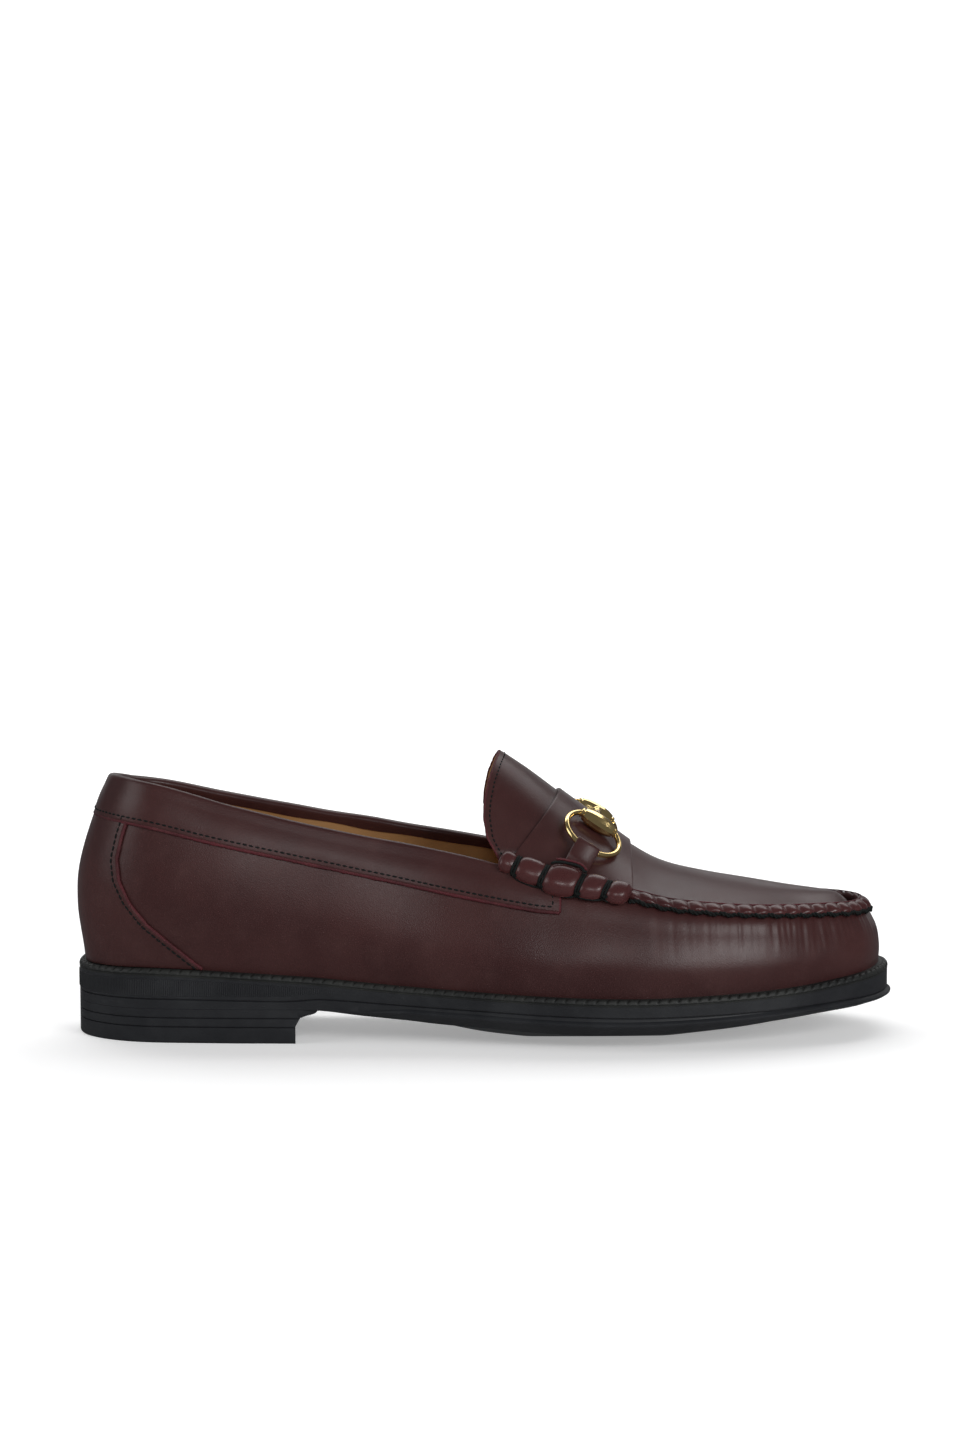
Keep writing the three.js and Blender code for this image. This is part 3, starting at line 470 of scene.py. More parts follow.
def brassSheet():
    sheet = Sheet("pale_brass", Metallic=1.)
    where = sheet.place()
    haze = sheet.noise(where, 180, 3.)
    scratch = sheet.noise(sheet.place((1, 6, 1)), 900, 2.)
    sheet.set("Base Color", sheet.mix(haze, (.89, .69, .33), (.78, .57, .24)))
    sheet.set("Roughness", .09 + haze * .08 + sheet.between(scratch, .6, .8) * .08)
    sheet.set("Normal", sheet.bump(haze, .00008, .25))
    return sheet.material


blackThread = threadSheet()
soleRubber = rubberSheet("sole_rubber", (.0118, .0126, .015), (.019, .0202, .0228), .5)
weltRubber = rubberSheet("welt_rubber", (.0105, .0112, .011), (.021, .022, .02), .52)
paleBrass = brassSheet()
print("materials made")

# Upper: leather wall and lining, one after the other, from the welt to the rim
rim = {
    "lateral": curveOf([(0, .872), (.03, .871), (.06, .864), (.1, .846), (.18, .787), (.273, .727),
                        (.36, .68), (.435, .643), (.495, .611), (.52, .594)]),
    "medial": curveOf([(0, .86), (.03, .85), (.06, .832), (.1, .811), (.18, .768), (.273, .725),
                       (.36, .689), (.435, .656), (.495, .626), (.52, .61)]),
    "throat": ((.52, .535, .625, .7, .9), (.594, .592, .75, .88, 1.3)), "under": 2.2}
seamRun = {"pitch": 6.1, "puckers": .4, "reach": 2.1, "dip": 1.1, "toeDip": 1.5}
wall = {"leather": (0, -1.1), "lining": (-1.15, -2.), "under": 2.4, "perRow": 16}

uSeam = np.linspace(0, around, 2201)
pSeam = surface(uSeam, seam)
seamLength = np.r_[0, np.cumsum(np.linalg.norm(np.diff(pSeam, axis=0), axis=1))]


def seamPlace(u):
    return np.interp(np.mod(u, around), uSeam, seamLength)


def rimHeight(x, y):
    s = shareOf(x)
    opening = sideToSide(rim["lateral"], rim["medial"])(x, y) - rim["under"]
    throat = last["instep"] * np.interp(s, *rim["throat"])
    return np.where(s < .52, opening, np.maximum(throat, opening))


def pucker(run):  # 1 on the lobes, 0 in the creases between them
    return np.abs(np.sin(math.pi * run / seamRun["pitch"]))


def relief(u, v):  # gathers below the apron seam, the dip of the plug behind it, and a slow unevenness
    p = surface(u, v)
    run = seamPlace(u)
    front = smooth(p[..., 0], lengthAt(.66), lengthAt(.71))
    gathered = smooth(p[..., 0], lengthAt(.66), lengthAt(.84))
    below = smooth(v, seam - seamRun["reach"], seam - .15) * (v <= seam + .2)
    fine = waves(run, v * .9, 1.7, 6, 7) * .5 + waves(run, v * .6, 3.1, 6, 9) * .8
    fade = .8 + .3 * waves(run, v * 2, 17, 4, 11)
    gathers = seamRun["puckers"] * below * (.82 * gathered * fine * fade + .35 * front * (pucker(run) - .6))
    deep = seamRun["dip"] + seamRun["toeDip"] * smooth(p[..., 0], lengthAt(.84), lengthAt(.93))
    dip = -deep * front * smooth(v, seam, seam + .3) * (1 - smooth(v, seam + .5, seam + 1.6))
    slow = .16 * waves(p[..., 0], p[..., 2] + p[..., 1] * .5, 38, 6, 3)
    return gathers + dip + slow * smooth(v, .05, .8)


def wallShell(steps, levels, outer, inner):  # steps: columns are this much finer round the toe
    perRow = np.repeat([1, steps, 1], [7, 8, 7]) * wall["perRow"]
    u = np.concatenate([i + np.arange(n) / n for i, n in enumerate(perRow)])
    cut = cutAt(u, rimHeight)
    v = np.linspace(0, 1, levels)[:, None] * cut
    both = []
    for out in (outer, inner):
        p = skin(u, v, out + relief(u + 0 * v, v))
        p[0] = surface(u, 0 * u) + footNormal(u) * out
        both += [(p[0] - [0, 0, wall["under"]])[None], p]
    count, rows = len(u), levels + 1
    faces = gridFaces(rows, count, False, True)
    k = np.arange(count)
    nextK, below, high = (k + 1) % count, rows * count, levels * count
    bottom = np.stack([nextK, k, below + k, below + nextK], 1)
    rimFaces = np.stack([high + k, high + nextK, below + high + nextK, below + high + k], 1)
    rimFaces = rimFaces[(cut[k] < 5) | (cut[nextK] < 5)]
    points = np.concatenate(both).reshape(-1, 3)
    return points, np.concatenate([faces, faces[:, ::-1] + below, bottom, rimFaces])


piece("upper_leather", wallShell(5, 56, *wall["leather"]), shoeLeather, ["upper"])
piece("upper_lining", wallShell(1, 60, *wall["lining"]), liningLeather)
print("upper and lining made")


# Overlays: leather laid on the wall, with a rounded cut edge
def slab(u, v, out, thick):  # u and v are grids, and the rim of the grid is the piece's edge
    inside = np.zeros((*u.shape, 1), bool)
    inside[1:-1, 1:-1] = True
    return sheet(np.where(inside, skin(u, v, out + thick), skin(u, v, out + thick - .175)), skin(u, v, out))


def grown(values, step):  # doubles the first and last stop a small way in, so that the edge turns sharply
    step = step * (values[-1:] - values[:1])
    return np.concatenate([values[:1], values[:1] + step, values[1:-1], values[-1:] - step, values[-1:]])


# Collar band: outside from its cut lower edge, over the rim and down inside
band = {"low": curveOf([(-.1, .735), (.01, .731), (.08, .712), (.16, .663), (.25, .612), (.39, .535),
                        (.455, .5), (.56, .454), (.589, .447)]),
        "outer": 1.35, "inner": -2.45, "fold": 4.2, "end": .592, "stitchUp": 1.9, "edge": (.74, 1.05),
        "stitch": (2.3, 2.12, .36), "endStitch": (2.3, 2.1, .36), "lap": 2.15}


def rollLine(x, y):  # height at which the rolls cover what lies under them
    return last["instep"] * np.interp(shareOf(x), (.5, .522, .682, .8), (.6, .588, .5, .435))


def bandTop(x, y):
    s = shareOf(x)
    height = sideToSide(rim["lateral"], rim["medial"])(x, y)
    return np.where(s < .52, height, np.minimum(height, rollLine(x, y) - .4))


bandStart, bandStop = columnAt(-1, band["end"], 2.3), columnAt(1, band["end"], 2.3) - around
uBand = np.linspace(bandStart, bandStop, 620)
vLow = cutAt(uBand, sideToSide(band["low"], band["low"]))
vHigh = np.maximum(cutAt(uBand, bandTop), vLow + .2)
pTop, nTop, tTop, _ = axesAt(uBand, vHigh)
folded = 1 - smooth(shareOf(pTop[:, 0]), .505, .53)
middle, radius = (band["outer"] + band["inner"]) / 2, (band["outer"] - band["inner"]) / 2
speed = np.linalg.norm(surface(uBand, vHigh) - surface(uBand, vHigh - .02), axis=1) / .02  # mm in one level
rows = []
soft = .12 * waves(pTop[:, 0], pTop[:, 1], 16, 4, 21) + .2 * waves(pTop[:, 0], pTop[:, 1], 45, 3, 22)
outerStops = np.r_[0, .006, .02, np.linspace(.06, 1, 22)]
for share, rounded in zip(outerStops, np.r_[.75, .2, 0 * outerStops[2:]]):
    v = vLow + (vHigh - radius * .9 / speed * folded - vLow) * share
    out = band["outer"] - rounded + .25 * math.sin(math.pi * min(share * 1.3, 1))
    rows.append(skin(uBand, v, out + 0 * uBand))
for angle in np.linspace(0, math.pi, 11)[1:]:
    fold = pTop + nTop * (middle + radius * math.cos(angle)) + tTop * (
        (radius * .9 * (math.sin(angle) ** .8 - 1)) + soft * math.sin(angle))[:, None]
    flat = pTop + nTop * (band["outer"] * (1 - angle / math.pi) + .1)
    rows.append(flat + (fold - flat) * folded[:, None])
for thick, depth, uneven in ((0, 2.6, 2), (0, 3.4, 2), (0, band["fold"], 2), (.42, band["fold"], 2),
                             (.42, band["lap"], 0)):
    inner = pTop + nTop * (band["inner"] + thick) - tTop * (depth + soft * uneven)[:, None]
    rows.append(rows[-1] + (inner - rows[-1]) * folded[:, None])
for share in (1, .66, .33, 0):
    v = vLow + (vHigh - band["lap"] / speed * folded - vLow) * share
    rows.append(skin(uBand, v, .08 + 0 * uBand))
count, k = len(rows), np.arange(len(rows) // 2 - 1)
ends = np.stack([k, k + 1, count - 2 - k, count - 1 - k], 1)
ends = np.concatenate([ends, ends[:, ::-1] + (len(uBand) - 1) * count])
bandFaces = np.concatenate([gridFaces(len(uBand), count, False, True), ends])
piece("collar_band", (np.stack(rows, 1).reshape(-1, 3), bandFaces), shoeLeather, ["collar"], 50)

upBy = band["stitchUp"] / (np.linalg.norm(surface(uBand, vLow + .02) - surface(uBand, vLow), axis=1) / .02)
threadParts = [stitches(uBand[3:-3], (vLow + upBy)[3:-3], *band["stitch"], band["outer"] + .02)]
for side in (0, -1):
    climb = np.linspace((vLow + upBy)[side], vHigh[side], 14)
    inset = uBand[3 if side == 0 else -4] + 0 * climb
    threadParts.append(stitches(inset, climb, *band["endStitch"], band["outer"] + .02))
sewn("collar_stitches", threadParts)


def edgeBead(u, v, out, size, flat, seed=0):  # cut edge of a leather piece, slightly uneven
    eu, ev, run = evenly(u, v, .7)
    p, normal, _, _ = axesAt(eu, ev)
    rough = 1 + .16 * waves(run, 0 * run, 2.3, 4, 31 + seed) + .1 * waves(run, 0 * run, 9, 3, 32 + seed)
    profile = ring(1.) * np.stack([size * rough, size * flat * (.5 + .5 * rough)], 1)[:, None]
    return sweep(p + normal * out, beside(p, normal), normal, profile)


beads = [edgeBead(uBand, vLow, band["outer"] * .52, *band["edge"])]
for side in (0, -1):
    climb = np.linspace(vLow[side], vHigh[side] + .1, 10)
    beads.append(edgeBead(uBand[side] + 0 * climb, climb, band["outer"] * .52, *band["edge"], 5))
cutEdge("collar_cut_edge", joined(beads))
print("collar band made")

# Counter panel round the heel
counter = {"outline": ((.1, .23, .33, .39, .46, .53, .6, .68, .78),
                       (.159, .156, .11, .083, .061, .048, .045, .052, .065)),
           "thick": 1.1, "stitchIn": 2.1, "stitch": (2.3, 2.05, .34)}


def counterEdge(p):
    return shareOf(p[..., 0]) - np.interp(p[..., 2] / last["instep"], *counter["outline"])


order = np.argsort(np.mod(uBand + around / 2, around))
uSorted, vSorted = np.mod(uBand + around / 2, around)[order] - around / 2, vLow[order]


def counterLevels(share):
    def levels(u):
        return share[:, None] * (np.interp(u, uSorted, vSorted) + .05) + .012 * (1 - share[:, None])
    return levels


def perRowAt(u, v):  # millimetres in one row of the last
    return np.linalg.norm(surface(u + .01, v) - surface(u, v), axis=1) / .01


shares = np.linspace(0, 1, 44)
toLateral, toMedial = (edgeAt(counterLevels(shares), 0, stop, counterEdge) for stop in (5, -5))
t = grown(np.linspace(0, 1, 110), .003)
uGrid = toMedial[:, None] + (toLateral - toMedial)[:, None] * t[None]
vGrid = counterLevels(shares)(uGrid)
piece("counter_panel", slab(uGrid, vGrid, .05, counter["thick"]), shoeLeather, ["counter"], 50)
edges, seams = [], []
for edge, sign in ((toLateral, -1), (toMedial, 1)):
    levels = counterLevels(shares)(edge[:, None])[:, 0]
    edges.append(edgeBead(edge, levels, .55, .72, .8, 3))
    inU = edge + sign * counter["stitchIn"] / perRowAt(edge, levels)
    seams.append(stitches(inU, levels, *counter["stitch"], counter["thick"] + .1))
cutEdge("counter_cut_edge", joined(edges))
sewn("counter_stitches", seams)
print("counter made")

# Tongue behind the saddle strap
tongue = {"back": ((.5, .56, .61, .68, .745, .79, .855, .91, .945, 1.05),
                   (.562, .542, .52, .504, .5, .501, .506, .514, .5215, .56)),
          "leather": (0, -1.), "lining": (-1.05, -1.9), "stitchIn": 2., "stitch": (1.95, 1.3, .27)}
saddle = {"back": ((.5, .588, .84, 1.), (.4993, .5262, .604, .6535)), "front": .682, "thick": 1.15}


def stripOver(w, levelOf, backTest, frontTest, columns):  # rows from the lateral side over the ridge
    u, v = np.zeros((2, len(w), columns))
    for mine, start, stop in ((w <= 0, 3.2, 10.8), (w > 0, around - 3.2, around - 10.8)):
        back, front = (edgeAt(lambda c: levelOf(w[mine], c), start, stop, test)
                       for test in (backTest, frontTest))
        u[mine] = back[:, None] + (front - back)[:, None] * grown(np.linspace(0, 1, columns - 2), .012)
        v[mine] = levelOf(w[mine], u[mine])
    return u, v


def backLine(line, forward=0.):  # how far a point lies in front of a piece's back edge
    return lambda p: shareOf(p[..., 0]) - np.interp(p[..., 2] / last["instep"], *line) - forward


def tongueLevel(w, u):
    return 5 - np.abs(w)[:, None] * (5 - 2.35) + 0 * u


def saddleLevel(w, u):  # runs down under the rolls
    flat = np.mod(u, around)
    ends = np.linspace(3, 10, 80)
    low = [np.interp(np.minimum(flat, around - flat), ends, cutAt(columns, lambda x, y: rollLine(x, y) - .8))
           for columns in (ends, around - ends)]
    return 5 - np.abs(w)[:, None] * (5 - np.where(flat > around / 2, low[1], low[0]))


w = grown(np.linspace(-1, 1, 120), .002)
uT, vT = stripOver(w, tongueLevel, backLine(tongue["back"]), backLine(saddle["back"], .02), 46)
pT = surface(uT, vT)
tuck = -2.9 * (1 - smooth(pT[..., 2] - last["instep"] * rim["lateral"](shareOf(pT[..., 0])), -1.5, 5.))
tuck = tuck * (shareOf(pT[..., 0]) < .62)
tongueShape, tongueLining = (sheet(skin(uT, vT, out + tuck), skin(uT, vT, under + tuck))
                             for out, under in (tongue["leather"], tongue["lining"]))
piece("tongue_leather", tongueShape, shoeLeather, ["tongue"], 50)
piece("tongue_lining", tongueLining, liningLeather, sharp=50)
p, normal, _, _ = axesAt(uT[:, 0], vT[:, 0])
centre = p + normal * (tuck[:, :1] - .5)
run = np.arange(len(centre))
size = .56 * (1 + .2 * waves(run, 0 * run, 3.1, 4, 51))
cutEdge("tongue_cut_edge", sweep(centre, beside(centre, normal), normal, ring(1.) * size[:, None, None]))
inU = uT[:, 0] + np.where(w <= 0, 1, -1) * tongue["stitchIn"] / perRowAt(uT[:, 0], vT[:, 0])
nearHalf, farHalf = (w <= -.03) & (w > -.86), (w > .03) & (w < .86)
seams = [stitches(inU[half], vT[half, 0], *tongue["stitch"], .05) for half in (nearHalf, farHalf)]
sewn("tongue_stitches", seams)

# Saddle strap
w = grown(np.linspace(-1, 1, 130), .002)
uS, vS = stripOver(w, saddleLevel, backLine(saddle["back"]),
                   lambda p: shareOf(p[..., 0]) - saddle["front"], 64)
piece("saddle_strap", slab(uS, vS, .08, saddle["thick"]), shoeLeather, ["saddle"], 50)
print("tongue and saddle made")

# Apron seam: a gathered ridge with a twisted thread along its foot
apron = {"start": .676, "across": 2.8, "out": 1.95, "lean": .22, "lift": .9,
         "thread": (.47, .4, 3.3)}  # strand, how far it winds, pitch
uA = np.linspace(columnAt(-1, apron["start"], seam), columnAt(1, apron["start"], seam), 4000)
uA, vA, runA = evenly(uA, seam + 0 * uA, .42)
pA, nA, tA, _ = axesAt(uA, vA)
seamAt = seamPlace(uA)
angle = turnBy(26)
ca, sa = np.cos(angle)[None], np.sin(angle)[None]
taper = smooth(runA, 0, 5) * smooth(runA[-1] - runA, 0, 5)
lobe = pucker(seamAt[:, None] + apron["lean"] * apron["across"] * ca) ** 1.15
wander = 1 + .07 * waves(seamAt, 0 * seamAt, 23, 4, 61) + .09 * waves(seamAt, 0 * seamAt, 5.1, 3, 62)
wander = wander[:, None]
ca, sa = (np.sign(x) * np.abs(x) ** .8 for x in (ca, sa))
across = apron["across"] * ca * (.8 + .2 * lobe) * wander * (.55 + .45 * taper[:, None])
lowSide = .5 - .5 * ca
outward = np.where(sa > 0, apron["out"] * sa * (.62 + (.98 * lobe - .46) * lowSide) * wander, 1.5 * sa)
outward = outward * (.6 + .4 * taper[:, None])
creaseSide = .35 * (lobe - .5) * (sa > 0) * ca
profile = np.stack([across + 0 * outward, outward + creaseSide], -1)
ridgeShape = sweep(pA + nA * apron["lift"] + tA * .35, tA, nA, profile)
piece("apron_ridge", ridgeShape, rollLeather, ["apron_seam"], 60)


def twisted(centre, sideways, outward, run, strand, wind, pitch):
    parts = []
    for phase in (0, math.pi):
        turn = 2 * math.pi * run / pitch + phase
        path = centre + sideways * (wind * np.cos(turn))[:, None] + outward * (wind * np.sin(turn))[:, None]
        parts.append(cord(path, strand, 6))
    return parts


scallop = .5 * (1 - 2 * pucker(seamAt + .8) ** 2)
footLine = pA + nA * 1.05 + tA * (-apron["across"] + .12 + scallop)[:, None]
sewn("apron_thread", twisted(footLine, tA, nA, runA, *apron["thread"]))

topOut = apron["lift"] + apron["out"] * .62 * (.62 + .06 * lobe[:, 0])
topEdge = pA + nA * topOut[:, None] + tA * (apron["across"] * .84 + .35)
cutEdge("apron_cut_edge", cord(topEdge, .27 * (.6 + .4 * taper) * wander[:, 0], 6))
print("apron seam made")

# Rolls: the ends of the strap drawn into lobes by wrapped thread
roll = {"back": .526, "front": .671, "wraps": (.1, .335, .64, .85), "necks": (3.55, 4.0, 3.95, 3.4),
        "lobes": (4.4, 5.15, 6.4, 5.3, 5.1), "thick": .78, "slant": .42, "lift": 1.9, "down": .5, "fall": 1.9,
        "gap": .017, "round": 2.4, "strand": .52, "arcOut": 4., "cutOut": 3.9}


def rollSize(share):
    stops = (-.05, *roll["wraps"], 1.045)
    necks = (.3, *roll["necks"], .3)
    total = np.zeros_like(share)
    for k in range(5):
        t = (share - stops[k]) / (stops[k + 1] - stops[k])
        inside = (t >= 0) & (t <= 1)
        tt = np.clip(t, 0, 1)
        gap = roll["gap"] / (stops[k + 1] - stops[k])
        neck = necks[k] + (necks[k + 1] - necks[k]) * tt
        tt = np.clip((tt - gap * (k > 0)) / (1 - gap * ((k > 0) + (k < 4))), 0, 1)
        bulge = (1 - np.abs(2 * tt - 1) ** 2.6) ** .5
        total = np.where(inside, neck + (roll["lobes"][k] - neck) * bulge, total)
    return total


def rollPath(side, share):
    ends = columnAt(side, roll["back"], seam), columnAt(side, roll["front"], seam)
    u = np.linspace(*ends, 400)
    eu, ev, run = evenly(u, seam + 0 * u, .1)
    at = np.interp(np.clip(share, 0, 1) * run[-1], run, eu)
    p, n, tt, aa = axesAt(at, seam + 0 * at)
    ahead = aa * (1 if side < 0 else -1)
    beyond = (share - np.clip(share, 0, 1)) * run[-1]
    down = roll["down"] + roll["fall"] * (share - .45)
    return p + n * roll["lift"] - tt * down[:, None] + ahead * beyond[:, None], n, tt, ahead


def rollSection(angle):  # a rounded square, flat towards the shoe
    ca, sa = np.cos(angle), np.sin(angle)
    square = (np.abs(ca) ** roll["round"] + np.abs(sa) ** roll["round"]) ** (-1 / roll["round"])
    return ca * square, sa * square * np.where(sa > 0, 1, .45)


for side, word in ((-1, "lateral"), (1, "medial")):
    share = np.linspace(-.0495, 1.0445, 220)
    centre, n, tt, ahead = (x[:, None] for x in rollPath(side, share))
    across, outBy = rollSection(turnBy(34))
    size = rollSize(share)[:, None, None] * (1 + .02 * waves(share * 46, 0 * share, 6, 3, 71))[:, None, None]
    rollShape = tube(centre + size * (tt * across[:, None] + n * roll["thick"] * outBy[:, None]
                                      + ahead * roll["slant"] * across[:, None]))
    piece(f"roll_{word}", rollShape, rollLeather, [f"roll_{word}"], 60)
    wraps = []
    angle = turnBy(40)
    wrapAcross, wrapOut = rollSection(angle)
    for at, neck in zip(roll["wraps"], roll["necks"]):
        c, n1, t1, a1 = (x[0] for x in rollPath(side, np.array([at])))
        across, outBy = (neck + .3) * wrapAcross, (neck * roll["thick"] + .3) * wrapOut
        for turn in (-.5, .5):
            path = (c + t1 * across[:, None] + n1 * outBy[:, None]
                    + a1 * (roll["slant"] * across + turn + .12 * np.sin(3 * angle + turn * 4))[:, None])
            wraps.append(cord(path, roll["strand"] + .04 * np.sin(9 * angle), closed=True, outward=a1))
        knot = c - t1 * (neck + .55) + n1 * (.9 + .3) - a1 * (roll["slant"] * neck - .5)
        for k in range(3):
            spin = turnBy(14)[:, None] + k
            lean = unit(n1 + a1 * (k - 1))
            loop = knot + t1 * .55 * np.cos(spin) + lean * .7 * np.sin(spin) + a1 * (k - 1) * .3
            wraps.append(cord(loop, .36, 6, closed=True, outward=unit(np.cross(t1, lean))))
    share = np.linspace(roll["wraps"][0], roll["wraps"][-1] + .05, 90)
    centre, n, tt, ahead = rollPath(side, share)
    edgeDown = np.interp(share, roll["wraps"], roll["necks"]) * .55 + rollSize(share) * .45
    foot = centre - tt * (edgeDown + .7)[:, None] - n * .5 - ahead * (roll["slant"] * edgeDown)[:, None]
    wraps.append(cord(foot, .42, 6))
    share = np.linspace(roll["wraps"][1] + .02, roll["wraps"][2] + .015, 34)
    centre, n, tt, ahead = rollPath(side, share)
    height = rollSize(share) * .93
    lean = ahead * (roll["slant"] * height)[:, None]
    wraps.append(cord(centre + tt * (height - .1)[:, None] + n * roll["arcOut"] + lean, .5, 6))
    cut = (centre + tt * (height + 1.15)[:, None] + n * roll["cutOut"] + ahead * 2.4)[3:-2]
    cutEdge(f"roll_cut_edge_{word}", cord(cut, .45 + .1 * np.sin(np.arange(len(cut)) * 1.9), 6))
    sewn(f"roll_thread_{word}", wraps)
print("rolls made")

# Bit: ring, barrel and tab on each side, and the link between them
bit = {"wire": 1.05, "half": 7.7, "barrelEnd": 2.5, "ringHalf": 10.8, "ringDeep": 10, "ringDrop": 7.6,
       "tabWide": 9.2, "tabThick": 1.1, "link": .85}
bitFrames = {
    "lateral": ((41.16, -16.43, 78.45), (.8404, 0, -.5419), (-.2711, -.8658, -.4205), (.4692, -.5004, .7277)),
    "medial": ((41.12, 19.26, 78.37), (.8537, 0, -.5207), (-.3112, .8018, -.5102), (.4175, .5976, .6845))}


def strapHeight(origin, along, down, out, at):  # how far the strap lies below the frame's plane
    side = -1 if origin[1] < 0 else 1
    u = np.linspace(4.4, 8.2, 140)
    u = u if side < 0 else around - u
    p = skin(*np.meshgrid(u, np.linspace(seam - .6, 5, 160), indexing="ij"), 1.3) - origin
    a, d, o = p @ along, p @ down, p @ out
    return np.array([o[(np.abs(a) < 4) & (np.abs(d - x) < .6)].max() for x in at])


for word, (origin, along, down, out) in bitFrames.items():
    origin = np.array(origin) - placeInFrame
    along, down, out = (unit(np.array(v)) for v in (along, down, out))
    start = math.asin(-bit["ringDrop"] / bit["ringDeep"])
    a = np.linspace(start + .04, math.pi - start - .04, 80)
    path = (origin + along * (bit["ringHalf"] * np.cos(a))[:, None]
            + down * (bit["ringDrop"] + bit["ringDeep"] * np.sin(a))[:, None])
    piece(f"ring_{word}", cord(path, bit["wire"], 16, out), paleBrass, [f"ring_{word}"], 180)
    half = bit["half"]
    rise = np.array([(0, .2), (.12, .5), (.4, .7), (.85, .74), (.95, .6), (1.25, .6), (1.35, .78), (1.5, .86),
                     (2.4, 1.0), (half - 4, 1.15), (half - 2, 1.26), (half, 1.3)]) - [half, 0]
    stops = np.concatenate([rise, (rise * [-1, 1])[-2::-1]])
    centre = origin + along * stops[:, :1]
    profile = ring(1., 12, math.pi / 12) * (stops[:, 1] * bit["barrelEnd"])[:, None, None]
    barrel = sweep(centre, down + 0 * centre, out + 0 * centre, profile)
    piece(f"barrel_{word}", barrel, paleBrass, [f"barrel_{word}"], 20)
    bar, thick = bit["ringDrop"] + bit["ringDeep"], bit["tabThick"]
    far = bar + np.array([11.5, 8, 5, 2.6])
    seatLow = strapHeight(origin, along, down, out, far) + thick / 2 + .15
    reach = bit["wire"] + thick / 2 + .12
    turnOver = np.linspace(-.35, math.pi + .2, 12)
    loop = np.stack([bar - reach * np.sin(turnOver) - .35, reach * np.cos(turnOver)], 1)
    route = np.concatenate([np.stack([far[:3], seatLow[:3] + thick + .1], 1), loop,
                            np.stack([far[::-1], seatLow[::-1]], 1)])
    knots = np.concatenate([2 * route[:1] - route[1:2], route, 2 * route[-1:] - route[-2:-1]])
    route = through(knots, np.linspace(0, len(route) - 1, 90))
    centre = origin + down * route[:, :1] + out * route[:, 1:]
    across = along + 0 * centre
    w2, h2, r = bit["tabWide"] / 2, thick / 2, .3
    box = np.array([(-w2 + r, -h2), (0, -h2), (w2 - r, -h2), (w2, -h2 + r), (w2, h2 - r), (w2 - r, h2),
                    (0, h2 + .08), (-w2 + r, h2), (-w2, h2 - r), (-w2, -h2 + r)])
    tab = sweep(centre, across, beside(centre, across), box)
    piece(f"tab_{word}", tab, shoeLeather, [f"tab_{word}"], 50)

lateral, medial = (np.array(bitFrames[k][0]) - placeInFrame for k in ("lateral", "medial"))
xMid = lengthAt(.642)
crest = np.array([xMid, 0, last["instep"] * ridgeShares(.642) + 1.8 + 1.3])
ends = [a + (crest - a) / np.linalg.norm(crest - a) * 2.9 for a in (lateral, medial)]
knots = np.array([ends[0] * 2 - (ends[0] + crest) / 2, ends[0], (ends[0] + crest) / 2 + [0, 0, .9], crest,
                  (ends[1] + crest) / 2 + [0, 0, .9], ends[1], ends[1] * 2 - (ends[1] + crest) / 2])
t = np.linspace(0, 3.999, 90)
path = through(knots, t)
s = t / 4
bulge = sum(high * np.exp(-((s - at) / wide) ** 2) for at, wide, high in (
    (.5, .035, .95), (.415, .018, .45), (.585, .018, .45), (.02, .03, .75), (.98, .03, .75)))
piece("bit_link", cord(path, bit["link"] + bulge, 16), paleBrass, ["bit_link"], 180)
print("bit made")

# Rubber: sole, welt and heel follow the foot of the last
sole = {"bead": 1.3, "inset": 4, "flat": .34, "groove": .35, "grooveDeep": .5, "weltDeep": 2.6}


def footRing(u, outward, heightAt, inward=0.):  # the outline of the foot, moved out or in, at a height
    foot = surface(u, 0 * u)
    reach = outward(foot[:, 0]) if callable(outward) else outward
    p = foot + footNormal(u) * np.broadcast_to(reach, len(u))[:, None]
    p[:, 1] += ((foot[:, 1] + surface(around - u, 0 * u)[:, 1]) / 2 - p[:, 1]) * inward
    p[:, 2] = heightAt(foot[:, 0])
    return p


def soleEdge(x):
    return last["heel"] * soleEdgeShares(shareOf(x))


def treadOf(x):
    return np.clip(last["heel"] * treadShares(shareOf(x)), 0, soleEdge(x))


def seatOf(x):
    return weltTop(x) - sole["weltDeep"] - .05


def inForefoot(x):
    return smooth(x, lengthAt(.33), lengthAt(.42))


def grooveOf(x):
    return soleEdge(x) + (seatOf(x) - soleEdge(x)) * grooveShares(shareOf(x))


def beadOf(x):
    return soleEdge(x) + (grooveOf(x) - soleEdge(x)) * (.12 + .5 * inForefoot(x))


def stack(rings):  # rings from the bottom up, closed with lids across the shoe
    count = len(rings[0])
    half = count // 2
    faces = gridFaces(len(rings), count, False, True)
    i = np.arange(half)
    lid = np.stack([i, i + 1, (count - i - 1) % count, (count - i) % count], 1)
    top = (len(rings) - 1) * count
    return np.concatenate(rings), np.concatenate([faces, lid[:, ::-1], lid + top])


uFoot = np.linspace(0, around, 1320, endpoint=False)
edge = last["welt"]
rings = [footRing(uFoot, 0., treadOf, 1 - sole["flat"])]
for t in (.35, .7, .93):
    rings.append(footRing(uFoot, lambda x: edge - sole["inset"] * inForefoot(x),
                          lambda x: soleEdge(x) + (treadOf(x) - soleEdge(x)) * (1 - t),
                          (1 - sole["flat"]) * (1 - t)))
bead = sole["bead"]
for flare, heightAt in ((-sole["inset"], soleEdge), (bead - .8, lambda x: beadOf(x) - .75 * inForefoot(x)),
                        (bead - .1, lambda x: beadOf(x) - .35 * inForefoot(x)), (bead, beadOf),
                        (bead, lambda x: beadOf(x) + .35), (bead - .3, lambda x: beadOf(x) + .75),
                        (.15, lambda x: beadOf(x) + .8 + .5 * inForefoot(x))):
    rings.append(footRing(uFoot, lambda x: edge + flare * inForefoot(x), heightAt))
